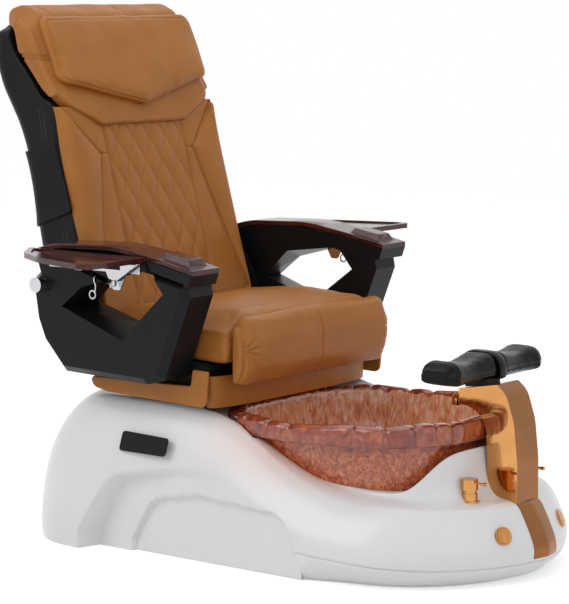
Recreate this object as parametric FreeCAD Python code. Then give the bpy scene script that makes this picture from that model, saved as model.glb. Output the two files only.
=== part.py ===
import FreeCAD, Part
import math
import os

# A pedicure spa chair: a moulded base with a resin foot bowl, and a massage chair on rails above it.
# Millimetres. +X points where the sitter faces, +Y to the sitter's left, +Z up.
# The origin lies on the floor under the middle of the overall length, on the plane of symmetry.
# "Right" pieces lie at -Y and "left" pieces at +Y.

os.makedirs("parts", exist_ok=True)
Vec = FreeCAD.Vector
UP = Vec(0, 0, 1)
SIDES = {"right": -1, "left": 1}

# Clearances and sheet thicknesses
gap = 0.5               # between neighbouring pieces of one body
moving_gap = 1.0        # between pieces that move against each other
shaft_gap = 0.06        # radial running clearance of a shaft in its hole
base_wall = 8.0         # least wall of the moulded base
sheet = 4.0             # folded steel plate
parting_gap = 1.5       # open joint line between the shell and the lower pan

# Base: outlines at their nose, half width beside the bowl, half width at the rear, and rear end
front_centre_x = 400.0  # where the rounded nose begins
rear_centre_x = -330.0  # where the rounded tail begins
waist_nose_x = 759.0
waist_front_half = 384.0
waist_rear_half = 444.0
waist_rear_x = -606.0
deck_height = 182.0
hump_height = 366.0
seat_ledge_height = 352.0
collar_height = 314.0
bowl_side_height = 208.0
parting_side_height = 67.0
parting_nose_height = 45.0
pan_rear_x = 288.0
skin_bands = 15         # level lines drawn on the base, from floor to middle
skin_stations = 26      # points along each level line, from nose to tail

# Side panel under its arch, and the shallow arch around it
panel_plane_y = 360.0
panel_front_x = 314.0
panel_rear_x = -200.0
panel_height = 156.0
relief_plane_y = 377.0
relief_front_x = 350.0
relief_rear_x = -322.0
relief_height = 219.0

# Bowl
bowl_x = 264.0
rim_length_half = 330.0
rim_width_half = 310.0
rim_top = 352.0
rim_drop = 44.0
rim_band = 34.0
bowl_wall = 8.0
bowl_floor = 104.0
groove_count = 16
groove_width = 4.0
groove_depth = 3.0
drain_radius = 34.0
jet_radius = 34.0
jet_z = 194.0
jet_tilt = 16.4         # degrees that the bowl's wall leans out at the jet
rim_room = 3.0          # between the bowl's rim and the recess around it
round_sides = 20        # flat sides of small turned fittings

# Drain pump
pump_y = 96.0
pipe_radius = 12.0
pipe_z = 30.0

# Arch with the foot cushion
arch_width = 92.0
arch_front_x = 690.0
arch_rear_x = 612.0
arch_top_z = 449.0
arch_arm_rear_x = 527.0
arch_arm_under_z = 393.0
arch_wall = 4.0
foot_cushion_x = 562.0
foot_cushion_length = 400.0
foot_cushion_width = 112.0
foot_cushion_under_z = 459.0
foot_cushion_height = 52.0
strap_width = 26.0
strip_proud = 2.5

# Water valves and nose buttons
valve_x = 610.0
valve_y = 122.5
valve_radius = 20.0
valve_top_z = 238.0
valve_split_z = 213.0
lever_reach = 46.0
button_x = 703.0
button_y = 123.0
button_z = 116.0
button_turn = 21.0      # degrees that a button faces outwards in plan
button_lean = 23.0      # degrees that a button faces upwards
button_radius = 18.0
bezel_width = 4.0
button_travel = 3.0

# Frame inside the base
frame_rear = -480.0
frame_front = 440.0
frame_rail_y = 230.0
frame_rail_top = 56.0
frame_tube = 30.0
post_y = 164.0
cradle_reach = 110.0

# Pedestal, rails and seat frame
pedestal_front_x = -80.0
pedestal_rear_x = -335.0
pedestal_half = 190.0
pedestal_low_z = 330.0
post_rear_x = pedestal_rear_x + 12.0
post_front_x = pedestal_front_x - 42.0
pedestal_top_z = 384.0
rail_y = 150.0
rail_width = 36.0
rail_height = 8.0
frame_front_x = -14.0
frame_rear_x = -372.0
frame_half = 318.0
frame_under_z = 393.0
frame_top_z = 468.0

# Seat cushion and its front roll
cushion_half = 317.0
cushion_rear_x = -345.0
cushion_seam_x = 46.0
cushion_under_z = 470.0
cushion_edge_z = 546.0
cushion_crown_z = 590.0
roll_half = 304.0
roll_front_x = 92.0
roll_under_z = 414.0
skirt_half = 308.0
skirt_under_z = 360.0
skirt_thickness = 12.0
valance_y = 346.0
valance_thickness = 8.0

# Backrest
recline_x = -352.0
recline_z = 478.0
recline_pin = 8.0
ear_reach = 21.0        # greatest reach of the back frame's ear round its pin, ahead and above
back_half = 288.0
shell_half = 290.0
shell_bulge = 44.0
shell_wall = 7.0
back_foot_x = -352.0
back_foot_z = 508.0
back_neck_x = -502.0
back_neck_z = 1066.0
back_thickness = 62.0
hood_top_z = 1317.0
hood_low_z = 1007.0
hood_face_low_x = -490.0
hood_face_top_x = -604.0
hood_corner_y = 165.0
pillow_half = 277.0
pillow_top_z = 1286.0
pillow_low_z = 1122.0
pillow_tip_z = 1056.0
massage_rail_y = 95.0
carriage_z = 760.0
roller_radius = 18.0
axle_ahead = 29.0       # from the guide rods to the rollers' axle

# Armrests
arm_outer_y = 430.0
arm_inner_y = 328.0
arm_pivot_x = -437.0
arm_pivot_z = 640.0
arm_pin_radius = 9.0
arm_chamfer = 20.0
wood_thickness = 12.0
knob_radius = 19.0

# Drop-leaf trays
tray_hinge_y = 446.0
tray_edge_y = 440.0
tray_under_z = 716.0
tray_thickness = 13.0
tray_reach = 638.0
strut_x = -196.0
strut_pivot_y = 439.0
strut_pivot_z = 658.0
strut_length = 132.0
lever_along = 62.0       # from the strut's pivot to the release lever
ring_radius = 11.0


def rounded_wire(corners, place, chords=0):
    """Closed wire through corners (a, b, radius), each with an arc of its radius; place makes (a, b) a point.

    With chords, each arc becomes that many straight chords, for a soft form's faceted loft."""
    arcs = []
    count = len(corners)
    for i, (a, b, radius) in enumerate(corners):
        corner = Vec(a, b, 0)
        to_last = Vec(corners[i - 1][0], corners[i - 1][1], 0) - corner
        to_next = Vec(corners[(i + 1) % count][0], corners[(i + 1) % count][1], 0) - corner
        half = to_last.getAngle(to_next) / 2
        if radius == 0 or abs(half - math.pi / 2) < 1e-4:
            arcs.append((corner, None, corner))
            continue
        to_last.normalize()
        to_next.normalize()
        middle = to_last + to_next
        middle.normalize()
        reach = radius / math.tan(half)
        start = corner + to_last * reach
        end = corner + to_next * reach
        arcs.append((start, corner + middle * (radius / math.sin(half) - radius), end))
    edges = []
    for i, (start, middle, end) in enumerate(arcs):
        if middle is not None and chords:
            arc = Part.Arc(start, middle, end).toShape().discretize(chords + 1)
            points = [place(p.x, p.y) for p in arc]
            edges += [Part.makeLine(p, q) for p, q in zip(points, points[1:])]
        elif middle is not None:
            points = [place(p.x, p.y) for p in (start, middle, end)]
            edges.append(Part.Arc(*points).toShape())
        following = arcs[(i + 1) % count][0]
        if end.distanceToPoint(following) > 1e-4:
            edges.append(Part.makeLine(place(end.x, end.y), place(following.x, following.y)))
    return Part.Wire(edges)


def flat_face(*points):
    return Part.Face(Part.makePolygon(list(points) + [points[0]]))


def solid_of(faces):
    shell = Part.makeShell(faces)
    shell.sewShape()
    solid = Part.makeSolid(shell)
    if solid.Volume < 0:
        solid.reverse()
    return solid


def faceted(wires):
    """Solid between flat-sided outlines with as many corners each; between them every facet is flat."""
    loops = [[vertex.Point for vertex in wire.OrderedVertexes] for wire in wires]
    faces = [flat_face(*loops[0]), flat_face(*loops[-1])]
    for low, high in zip(loops, loops[1:]):
        for k in range(len(low)):
            a, b, c, d = low[k - 1], low[k], high[k], high[k - 1]
            normal = (c - a).cross(d - b)
            if abs(normal.dot(b - a)) < 1e-6 * normal.Length:
                faces.append(flat_face(a, b, c, d))
            else:
                faces += [flat_face(a, b, c), flat_face(a, c, d)]
    return solid_of(faces)


def side_slab(corners, y_low, y_high):
    """Outline of (x, z, radius) corners, extruded along Y."""
    wire = rounded_wire(corners, lambda a, b: Vec(a, y_low, b))
    return Part.Face(wire).extrude(Vec(0, y_high - y_low, 0))


def flat_slab(corners, z_low, z_high):
    """Outline of (x, y, radius) corners, extruded upwards."""
    wire = rounded_wire(corners, lambda a, b: Vec(a, b, z_low))
    return Part.Face(wire).extrude(Vec(0, 0, z_high - z_low))


def front_slab(corners, x_low, x_high):
    """Outline of (y, z, radius) corners, extruded along X."""
    wire = rounded_wire(corners, lambda a, b: Vec(x_low, a, b))
    return Part.Face(wire).extrude(Vec(x_high - x_low, 0, 0))


def block(x_low, x_high, y_low, y_high, z_low, z_high):
    size = (x_high - x_low, y_high - y_low, z_high - z_low)
    return Part.makeBox(*size, Vec(x_low, y_low, z_low))


def rod(start, end, radius, sides=0):
    """Solid cylinder from one point to another, or a bar with that many flat sides."""
    along = end - start
    if not sides:
        return Part.makeCylinder(radius, along.Length, start, along)
    across = along.cross(Vec(0, 1, 0))
    if across.Length < 1e-6:
        across = Vec(1, 0, 0)
    across.normalize()
    aside = along.cross(across)
    aside.normalize()
    turns = [2 * math.pi * (i + 0.5) / sides for i in range(sides)]
    corners = [start + across * (radius * math.cos(a)) + aside * (radius * math.sin(a)) for a in turns]
    return Part.Face(Part.makePolygon(corners + corners[:1])).extrude(along)


def tube(start, end, radius, bore, sides=0):
    return rod(start, end, radius, sides).cut(rod(start, end, bore, sides))


def mirrored(shape):
    return shape.mirror(Vec(0, 0, 0), Vec(0, 1, 0))


def both(shape):
    """A piece at -Y together with its mirror image."""
    return Part.makeCompound([shape, mirrored(shape)])


def fused(first, *others):
    return first.fuse(list(others)).removeSplitter()


def save(name, shape):
    shape.exportStep("parts/" + name + ".step")


def save_sides(name, right_shape):
    """Write a piece made at -Y as NAME_right, and its mirror image as NAME_left."""
    save(name + "_right", right_shape)
    save(name + "_left", mirrored(right_shape))


def eased(value, start, end):
    """0 at start, 1 at end, with a smooth step between."""
    u = min(max((value - start) / (end - start), 0.0), 1.0)
    return u * u * (3 - 2 * u)


def quarter(degrees, reach_x, reach_y, power):
    """A point of a superellipse quarter: 0 degrees on the X axis, 90 on the Y axis."""
    angle = math.radians(degrees)
    across = abs(math.cos(angle)) ** (2 / power)
    aside = abs(math.sin(angle)) ** (2 / power)
    return reach_x * across, reach_y * aside


def oval_wire(half_x, half_y, z):
    """Closed oval around the bowl's axis: a rounded octagon that touches a cubic superellipse."""
    near = 0.587
    radius = 0.66 * min(half_x, half_y)
    corners = []
    for sx, sy, first in ((1, 1, 1), (-1, 1, 0), (-1, -1, 1), (1, -1, 0)):
        pair = [(sx, near * sy), (near * sx, sy)]
        if not first:
            pair.reverse()
        corners += [(bowl_x + half_x * x, half_y * y, radius) for x, y in pair]
    return rounded_wire(corners, lambda x, y: Vec(x, y, z), chords=5)


# Base skin: a smooth surface over a net of ribs. Each rib climbs from the floor over the shoulder to the middle.

nose_steps = (0, 15, 30, 45, 60, 75, 90)
side_stations = (290.0, 205.0, 130.0, 30.0, -90.0, -210.0, -330.0)
tail_steps = (75, 60, 45, 30, 15, 0)


def shoulder_z(x):
    """Height of the shoulder: low deck at the nose, rising to the hump under the seat."""
    return deck_height + (hump_height - deck_height) * eased(-x, -front_centre_x, 60.0)


def lip_z(x):
    """Height of the edge beside the bowl, from its lowest point up to the ledge under the seat."""
    climb = (collar_height - bowl_side_height) * eased(-x, -390.0, -120.0) ** 1.6
    return bowl_side_height + climb + (seat_ledge_height - collar_height) * eased(-x, -100.0, 90.0)


def collar_z(degrees):
    """Height of the edge around the bowl's front, which carries the rim ahead of the low sides."""
    return collar_height - (collar_height - bowl_side_height) * eased(degrees, 30.0, 66.0)


def skin_levels(degrees, x, wall):
    """Rows of the net from the floor to the middle.

    Each row is (nose x, half width at the bowl, half width at the rear, rear x, power, height),
    all drawn in by the wall thickness."""
    shoulder = shoulder_z(x)
    lip = collar_z(degrees) if degrees is not None and x > front_centre_x else lip_z(x)
    rise = (shoulder - deck_height) / (hump_height - deck_height)
    pan = eased(x, pan_rear_x - 60.0, pan_rear_x + 60.0)
    floor_front = waist_front_half - 66.0 * pan - 6.0
    waist_z = 64.0 - 14.0 * eased(x, 250.0, 600.0)
    flare_z = deck_height + 4.0 + (lip - deck_height) * (0.4 + 0.6 * rise)
    rows = [
        (waist_nose_x - 80.0, floor_front, waist_rear_half - 2.0, waist_rear_x + 8.0, 1.9, 0.0),
        (waist_nose_x - 32.0, waist_front_half - 34.0 * pan, waist_rear_half, waist_rear_x + 1.0, 1.85, 16.0),
        (waist_nose_x, waist_front_half, waist_rear_half, waist_rear_x, 1.8, waist_z),
        (waist_nose_x - 24.0, 366.0, 430.0, waist_rear_x + 16.0, 1.85, 112.0 + 78.0 * rise),
        (waist_nose_x - 48.0, 332.0, 398.0, waist_rear_x + 72.0, 1.95, 158.0 + 140.0 * rise),
        (waist_nose_x - 66.0, 296.0, 348.0, waist_rear_x + 174.0, 2.1, shoulder + 2.0),
        (630.0, 274.0, 300.0, -380.0, 2.2, shoulder - 1.0 + 3.0 * rise),
        (606.0, 266.0, 262.0, -340.0, 2.3, flare_z),
        (598.0, 262.0, 236.0, -310.0, 2.5, lip + 1.0),
        (584.0, 244.0, 190.0, -280.0, 2.6, lip + 1.0),
        (560.0, 0.0, 0.0, -250.0, 2.0, lip + 1.0),
    ]
    drawn = []
    for row, (nose, front_half, rear_half, rear, power, height) in enumerate(rows):
        inset = wall * (2.4 if row < 2 else 1.0)
        halves = [max(half - inset, 0.0) for half in (front_half, rear_half)]
        level = height if row == 1 else height - wall
        drawn.append((nose - inset, halves[0], halves[1], rear + inset, power, level))
    return drawn


def rib(kind, step, wall):
    """One rib of the net: a list of points from the floor to the plane of symmetry."""
    points = []
    if kind == "nose":
        for nose, half, _, _, power, z in skin_levels(step, front_centre_x + 1.0, wall):
            x, y = quarter(step, nose - front_centre_x, half, power)
            points.append(Vec(front_centre_x + x, -y, z))
    elif kind == "side":
        share = (front_centre_x - step) / (front_centre_x - rear_centre_x)
        for _, front_half, rear_half, _, _, z in skin_levels(None, step, wall):
            points.append(Vec(step, -(front_half + (rear_half - front_half) * share), z))
    else:
        for _, _, half, rear, _, z in skin_levels(None, rear_centre_x, wall):
            x, y = quarter(step, rear_centre_x - rear, half, 2.5)
            points.append(Vec(rear_centre_x - x, -y, z))
    return points


def clamped_knots(count, degree):
    """Knots and multiplicities of an even clamped spline with this many poles."""
    knots = list(range(count - degree + 1))
    return knots, [degree + 1] + [1] * (len(knots) - 2) + [degree + 1]


def skin_surface(wall):
    """Smooth surface over the net: its first direction runs round the plan, its second up a rib."""
    net = [rib("nose", step, wall) for step in nose_steps]
    net += [rib("side", step, wall) for step in side_stations]
    net += [rib("tail", step, wall) for step in tail_steps]
    degree = 3
    u_knots, u_mults = clamped_knots(len(net), degree)
    v_knots, v_mults = clamped_knots(len(net[0]), degree)
    surface = Part.BSplineSurface()
    surface.buildFromPolesMultsKnots(net, u_mults, v_mults, u_knots, v_knots, False, False, degree, degree)
    return surface, u_knots[-1], v_knots[-1]


def skin_points():
    """Points of the base's right side: level lines from the floor up, each a list from nose to tail."""
    surface, u_end, v_end = skin_surface(0.0)
    lines = []
    for i in range(skin_bands - 1):
        v = v_end * i / skin_bands
        line = [surface.value(u_end * k / skin_stations, v) for k in range(skin_stations + 1)]
        for end in (0, -1):
            line[end] = Vec(line[end].x, 0, line[end].z)
        lines.append(line)
    return lines


def base_form():
    """Solid outer form of the base: flat facets between points of the smooth skin, closed straight across above."""
    right = skin_points()
    left = [[Vec(p.x, -p.y, p.z) for p in line] for line in right]
    faces = []
    for side in (right, left):
        for low, high in zip(side, side[1:]):
            for k in range(skin_stations):
                faces.append(flat_face(low[k], low[k + 1], high[k + 1]))
                faces.append(flat_face(low[k], high[k + 1], high[k]))
    top, far_top = right[-1], left[-1]
    faces.append(flat_face(top[0], top[1], far_top[1]))
    for k in range(1, skin_stations - 1):
        faces.append(flat_face(top[k], top[k + 1], far_top[k + 1], far_top[k]))
    faces.append(flat_face(top[-2], top[-1], far_top[-2]))
    faces.append(flat_face(*(right[0] + left[0][-2:0:-1])))
    return solid_of(faces)


def chamber_wire(z, front, front_half, rear_half, rear):
    """Flat-sided outline of the hollow at one height: blunt or rounded front, rounded tail."""
    right = []
    if front > front_centre_x:
        for degrees in (0, 18, 36, 54, 72, 90):
            x, y = quarter(degrees, front - front_centre_x, front_half, 1.85)
            right.append(Vec(front_centre_x + x, -y, z))
    else:
        right.append(Vec(front, -front_half, z))
    for degrees in (90, 72, 54, 36, 18, 0):
        x, y = quarter(degrees, rear_centre_x - rear, rear_half, 2.5)
        right.append(Vec(rear_centre_x - x, -y, z))
    left = [Vec(p.x, -p.y, p.z) for p in reversed(right) if abs(p.y) > 1e-6]
    return Part.makePolygon(right + left + right[:1])


def hollow_form():
    """Hollow of the base: a low chamber under the whole plan, and a high one under the seat."""
    wall = base_wall
    low = [
        (-10.0, waist_nose_x - 92.0, 312.0, waist_rear_half - 14.0, waist_rear_x + 18.0),
        (48.0, waist_nose_x - 18.0 - wall, 374.0 - wall, waist_rear_half - 6.0 - wall, waist_rear_x + 6.0 + wall),
        (95.0, waist_nose_x - 20.0 - wall, 366.0 - wall, waist_rear_half - 10.0 - wall, waist_rear_x + 12.0 + wall),
        (150.0, waist_nose_x - 52.0 - wall, 322.0 - wall, waist_rear_half - 18.0 - wall, waist_rear_x + 18.0 + wall),
        (deck_height - 14.0, waist_nose_x - 76.0 - wall, 292.0 - wall, waist_rear_half - 22.0 - wall,
         waist_rear_x + 24.0 + wall),
    ]
    front = pedestal_front_x - 2.0
    high = [
        (deck_height - 30.0, front, 385.0 - wall, waist_rear_half - 20.0 - wall, waist_rear_x + 22.0 + wall),
        (252.0, front, 360.0 - wall, 400.0 - wall, -550.0 + wall),
        (300.0, front, 330.0 - wall, 366.0 - wall, -512.0 + wall),
        (seat_ledge_height - 14.0, front, 292.0 - wall, 330.0 - wall, -444.0 + wall),
    ]
    rooms = [faceted([chamber_wire(*level) for level in levels]) for levels in (low, high)]
    return rooms[0].fuse(rooms[1])


def arched_outline(front_x, rear_x, height, lower_by=30.0):
    """Corners of an arch on the floor: round shoulders, nearly flat crown."""
    run = front_x - rear_x
    return [
        (rear_x, -lower_by, 0),
        (rear_x, height * 0.18, 0),
        (rear_x + run * 0.13, height * 0.86, run * 0.16),
        (rear_x + run * 0.42, height * 1.03, run * 0.5),
        (front_x - run * 0.10, height * 0.93, run * 0.15),
        (front_x - run * 0.01, height * 0.25, 0),
        (front_x, -lower_by, 0),
    ]


def parting_cutter(drop):
    """Everything under the joint line between the shell and the pan, lowered by drop."""
    line = [
        (pan_rear_x + 34.0 + drop, -20.0, 0),
        (pan_rear_x + drop, parting_side_height - drop, 0),
        (490.0, parting_nose_height + 9.0 - drop, 300.0),
        (waist_nose_x + 30.0, parting_nose_height - drop, 0),
        (waist_nose_x + 30.0, -20.0, 0),
    ]
    return side_slab(line, -500.0, 500.0)


def bowl_levels(clearance):
    """(share of the rim's half sizes, height) of the bowl's outer wall."""
    return [
        (0.52, bowl_floor),
        (0.68, bowl_floor + 12.0),
        (0.80, bowl_floor + 56.0),
        (0.88, bowl_floor + 140.0),
        (0.925, rim_top - rim_drop + 8.0 + clearance),
    ]


def bowl_body(clearance):
    """Outer body of the bowl, grown by a clearance."""
    wires = [oval_wire(rim_length_half * share + clearance, rim_width_half * share + clearance,
                       height - clearance) for share, height in bowl_levels(clearance)]
    return faceted(wires)


def make_base():
    outer = base_form()
    inner = hollow_form()
    well = bowl_body(2.0)
    recess = oval_wire(rim_length_half + rim_room, rim_width_half + rim_room, rim_top - rim_drop - rim_room)
    well = well.fuse(Part.Face(recess).extrude(Vec(0, 0, 120.0)))
    walls = outer.cut(inner)
    relief = side_slab(arched_outline(relief_front_x, relief_rear_x, relief_height), -520.0, -relief_plane_y)
    pocket = side_slab(arched_outline(panel_front_x, panel_rear_x, panel_height), -520.0, -panel_plane_y)
    backing = side_slab(arched_outline(panel_front_x + 10.0, panel_rear_x - 10.0, panel_height + 10.0, 0.0),
                        -relief_plane_y + 0.5, -panel_plane_y + sheet + 1.0).common(outer)
    skin_back = side_slab(arched_outline(relief_front_x + 8.0, relief_rear_x - 8.0, relief_height + 8.0, 0.0),
                          -relief_plane_y, -relief_plane_y + base_wall).common(outer)
    for turn in (lambda s: s, mirrored):
        walls = walls.cut(turn(relief))
        walls = walls.fuse(turn(skin_back).cut(turn(relief)))
        walls = walls.fuse(turn(backing).cut(turn(relief)))
        walls = walls.cut(turn(pocket))
    walls = walls.cut(well)
    walls = walls.cut(block(-800.0, 800.0, -500.0, 500.0, -50.0, 0.0))
    pan = walls.common(parting_cutter(parting_gap))
    hatch = block(pedestal_rear_x - 2.0, pedestal_front_x + 2.0, -pedestal_half - 2.0, pedestal_half + 2.0,
                  pedestal_low_z, pedestal_top_z)
    shell = walls.cut(parting_cutter(0.0)).cut(hatch)
    return outer, shell, pan


def largest(shape):
    """The biggest solid of a shape, without the slivers that a cut can leave."""
    return max(shape.Solids, key=lambda s: s.Volume)


outer_form, shell_walls, pan_walls = make_base()


# Side panels behind the arches

def make_side_panel():
    edge = 3 * gap
    return side_slab(arched_outline(panel_front_x - edge, panel_rear_x + edge, panel_height - edge, 0.0),
                     -panel_plane_y - 3.0, -panel_plane_y - gap)


# Whirlpool jet: made level, then tilted with the bowl's leaning wall

def jet_centre():
    """Middle of the jet on the outer face of the bowl's right wall."""
    share = 0.80 + 0.08 * (jet_z - bowl_floor - 56.0) / 84.0
    return Vec(bowl_x - 40.0, -rim_width_half * share, jet_z)


def tilted_with_wall(shape):
    turned = shape.copy()
    turned.rotate(jet_centre(), Vec(1, 0, 0), jet_tilt)
    return turned


# Nose buttons: their axis leans out and up with the nose

def button_axis(side):
    turn = math.radians(button_turn)
    lean = math.radians(button_lean)
    return Vec(math.cos(lean) * math.cos(turn), side * math.cos(lean) * math.sin(turn), math.sin(lean))


def button_centre(side):
    return Vec(button_x, side * button_y, button_z)


def make_button(side):
    axis = button_axis(side)
    face = button_centre(side) + axis * 5.0
    disc = rod(face - axis * 26.0, face, button_radius - moving_gap / 2, round_sides)
    ring_cut = tube(face - axis * 1.0, face + axis, button_radius * 0.62, button_radius * 0.50, round_sides)
    return disc.cut(ring_cut)


def make_bezel(side):
    axis = button_axis(side)
    face = button_centre(side) + axis * 4.0
    return tube(face - axis * 24.0, face, button_radius + bezel_width, button_radius + gap / 2, round_sides)


def button_hole(side):
    axis = button_axis(side)
    face = button_centre(side) + axis * 30.0
    return rod(face - axis * 70.0, face, button_radius + bezel_width + gap, round_sides)


def cut_base_holes(shell):
    for side in (-1, 1):
        shell = shell.cut(button_hole(side))
        valve_hole = rod(Vec(valve_x, side * valve_y, deck_height - 60.0),
                         Vec(valve_x, side * valve_y, deck_height + 80.0), valve_radius - 6.0 + gap, round_sides)
        turning_room = rod(Vec(valve_x, side * valve_y, valve_split_z - 8.0),
                           Vec(valve_x, side * valve_y, deck_height + 160.0), valve_radius + moving_gap, round_sides)
        shell = shell.cut(valve_hole).cut(turning_room)
    pocket = tilted_with_wall(rod(jet_centre() - Vec(0, 38.0, 0), jet_centre(), jet_radius - 12.0, round_sides))
    return shell.cut(pocket)


base_shell = largest(cut_base_holes(shell_walls))
lower_pan = largest(pan_walls)


def make_front_strip():
    """Polished strip down the nose, standing proud of the shell."""
    proud = outer_form.copy()
    proud.translate(Vec(strip_proud, 0, 0))
    half = arch_width / 2
    zone = block(arch_front_x + gap, waist_nose_x + 30.0, -half, half, parting_nose_height + 2.0, deck_height + 10.0)
    return largest(proud.common(zone).cut(outer_form))


# Frame and feet inside the base

def make_base_frame():
    """Welded square-tube frame on the floor plan, with four posts up to the pedestal."""
    leg = frame_tube
    low, high = frame_rail_top - leg, frame_rail_top
    y_in, y_out = frame_rail_y - leg / 2, frame_rail_y + leg / 2
    rails = [block(frame_rear, frame_front, side * frame_rail_y - leg / 2, side * frame_rail_y + leg / 2, low, high)
             for side in (-1, 1)]
    for x in (frame_rear, post_rear_x, post_front_x, frame_front - leg):
        rails.append(block(x, x + leg, -y_in, y_in, low, high))
    for x in (post_rear_x, post_front_x):
        for side in (-1, 1):
            y = side * post_y
            rails.append(block(x, x + leg, y - leg / 2, y + leg / 2, low, pedestal_low_z))
    return fused(*rails)


def make_levelling_feet():
    feet = []
    for x in (frame_rear + 15.0, post_front_x + 15.0, frame_front - 15.0):
        for side in (-1, 1):
            centre = Vec(x, side * frame_rail_y, 0)
            pad = rod(centre, centre + UP * 8.0, 20.0, 12)
            stem = rod(centre + UP * 8.0, centre + UP * (frame_rail_top - frame_tube), 6.0, 6)
            feet.append(pad.fuse(stem))
    return Part.makeCompound(feet)


# Bowl with its drooping grooved rim

def make_bowl():
    top = rim_top
    low = rim_top - rim_drop
    body = bowl_body(0.0)
    band = [
        (0.99, low),
        (1.0, low + 8.0),
        (1.0, top - 12.0),
        (0.975, top),
    ]
    wires = [oval_wire(rim_length_half * s, rim_width_half * s, z) for s, z in band]
    rim = faceted(wires)
    inner = [(0.42, bowl_floor + bowl_wall), (0.60, bowl_floor + bowl_wall + 9.0)]
    for share, height in bowl_levels(0.0)[2:]:
        inner.append((share - bowl_wall / rim_length_half, height))
    inner.append(((rim_length_half - rim_band) / rim_length_half, top + 1.0))
    cavity = faceted([oval_wire(rim_length_half * s, rim_width_half * s, z) for s, z in inner])
    bowl = body.fuse(rim).cut(cavity)
    edge = oval_wire(rim_length_half, rim_width_half, low - 2.0).discretize(groove_count * 4 + 1)[:-1]
    for i in range(0, len(edge), 4):
        along = edge[(i + 1) % len(edge)] - edge[i - 1]
        along.normalize()
        inwards = Vec(-along.y, along.x, 0)
        centre = Vec(bowl_x, 0, low - 2.0)
        if inwards.dot(centre - edge[i]) < 0:
            inwards = inwards * -1
        outside = edge[i] - inwards * 3.0
        corners = [outside - along * groove_width, outside + along * groove_width, edge[i] + inwards * groove_depth]
        wedge = Part.Face(Part.makePolygon(corners + corners[:1]))
        bowl = bowl.cut(wedge.extrude(UP * (rim_drop + 4.0)))
    drain_hole = rod(Vec(bowl_x, 0, bowl_floor - 10.0), Vec(bowl_x, 0, bowl_floor + 60.0), drain_radius - 8.0, round_sides)
    jet = jet_centre()
    jet_hole = tilted_with_wall(rod(jet - Vec(0, 40.0, 0), jet + Vec(0, 60.0, 0), jet_radius - 12.0, round_sides))
    return largest(bowl.cut(drain_hole).cut(jet_hole))


def make_cradle():
    """Steel cradle under the bowl: two padded cross bars on four posts of the frame."""
    half_y = frame_rail_y + 12.0
    top = bowl_floor - gap
    bars = []
    for dx in (-cradle_reach, cradle_reach):
        x = bowl_x + dx
        bar = [(-half_y, top - 26.0, 0), (half_y, top - 26.0, 0), (half_y, top, 6.0), (-half_y, top, 6.0)]
        bars.append(front_slab(bar, x - 14.0, x + 14.0))
        for side in (-1, 1):
            y = side * frame_rail_y
            bars.append(block(x - 14.0, x + 14.0, y - 12.0, y + 12.0, frame_rail_top, top - 20.0))
    return fused(*bars)


def make_drain():
    top = bowl_floor + bowl_wall
    axis = Vec(bowl_x, 0, 0)
    flange = rod(axis + UP * (top + 0.2), axis + UP * (top + 3.2), drain_radius, round_sides)
    throat = rod(axis + UP * (bowl_floor - 46.0), axis + UP * (top + 0.2), drain_radius - 9.0, round_sides)
    nut = rod(axis + UP * (bowl_floor - 12.0), axis + UP * (bowl_floor - gap), drain_radius + 4.0, round_sides)
    drain = flange.fuse(throat).fuse(nut)
    bore = rod(axis + UP * (bowl_floor - 50.0), axis + UP * (top + 10.0), drain_radius - 14.0, round_sides)
    return drain.cut(bore)


def make_stopper():
    top = bowl_floor + bowl_wall + 3.2
    axis = Vec(bowl_x, 0, 0)
    cap = rod(axis + UP * (top + gap), axis + UP * (top + 5.5), drain_radius - 9.0, round_sides)
    stem = rod(axis + UP * (bowl_floor - 30.0), axis + UP * (top + gap), 5.0, 8)
    guide = rod(axis + UP * (bowl_floor - 30.0), axis + UP * (bowl_floor - 24.0), drain_radius - 15.5, round_sides)
    return cap.fuse(stem).fuse(guide)


def make_pump():
    """Drain pump on the frame, with the stiff trap pipe that joins it to the drain's tail."""
    z = frame_rail_top + 54.0
    centre = Vec(-200.0, pump_y, z)
    along = Vec(1, 0, 0)
    body = rod(centre - along * 70.0, centre + along * 60.0, 40.0, 12)
    volute = rod(centre + along * 60.0, centre + along * 96.0, 50.0, 12)
    foot = block(post_rear_x, post_front_x + frame_tube, pump_y - 40.0, pump_y + 40.0, frame_rail_top, z - 36.0)
    elbow = Vec(post_front_x + 52.0, pump_y, z)
    run = rod(centre + along * 96.0, elbow + along * pipe_radius, pipe_radius, 8)
    low = Vec(elbow.x, pump_y, pipe_z)
    drop = rod(elbow, low - UP * pipe_radius, pipe_radius, 8)
    cross = rod(low + Vec(0, pipe_radius, 0), Vec(elbow.x, -pipe_radius, pipe_z), pipe_radius, 8)
    tail = rod(Vec(elbow.x - pipe_radius, 0, pipe_z), Vec(bowl_x + pipe_radius, 0, pipe_z), pipe_radius, 8)
    riser = rod(Vec(bowl_x, 0, pipe_z), Vec(bowl_x, 0, bowl_floor - 46.0 - gap), pipe_radius, 8)
    return fused(body, volute, foot, run, drop, cross, tail, riser)


def make_jet_housing():
    centre = jet_centre()
    inwards = Vec(0, 1, 0)
    face = bowl_wall + gap
    plate = rod(centre + inwards * face, centre + inwards * (face + 6.0), jet_radius, round_sides)
    barrel = rod(centre - inwards * 34.0, centre + inwards * face, jet_radius - 13.0, round_sides)
    bore = rod(centre - inwards * 24.0, centre + inwards * 20.0, jet_radius - 17.0, round_sides)
    pin = rod(centre - inwards * 25.0, centre + inwards * 2.0, 3.0)
    return tilted_with_wall(plate.fuse(barrel).cut(bore).fuse(pin))


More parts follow.
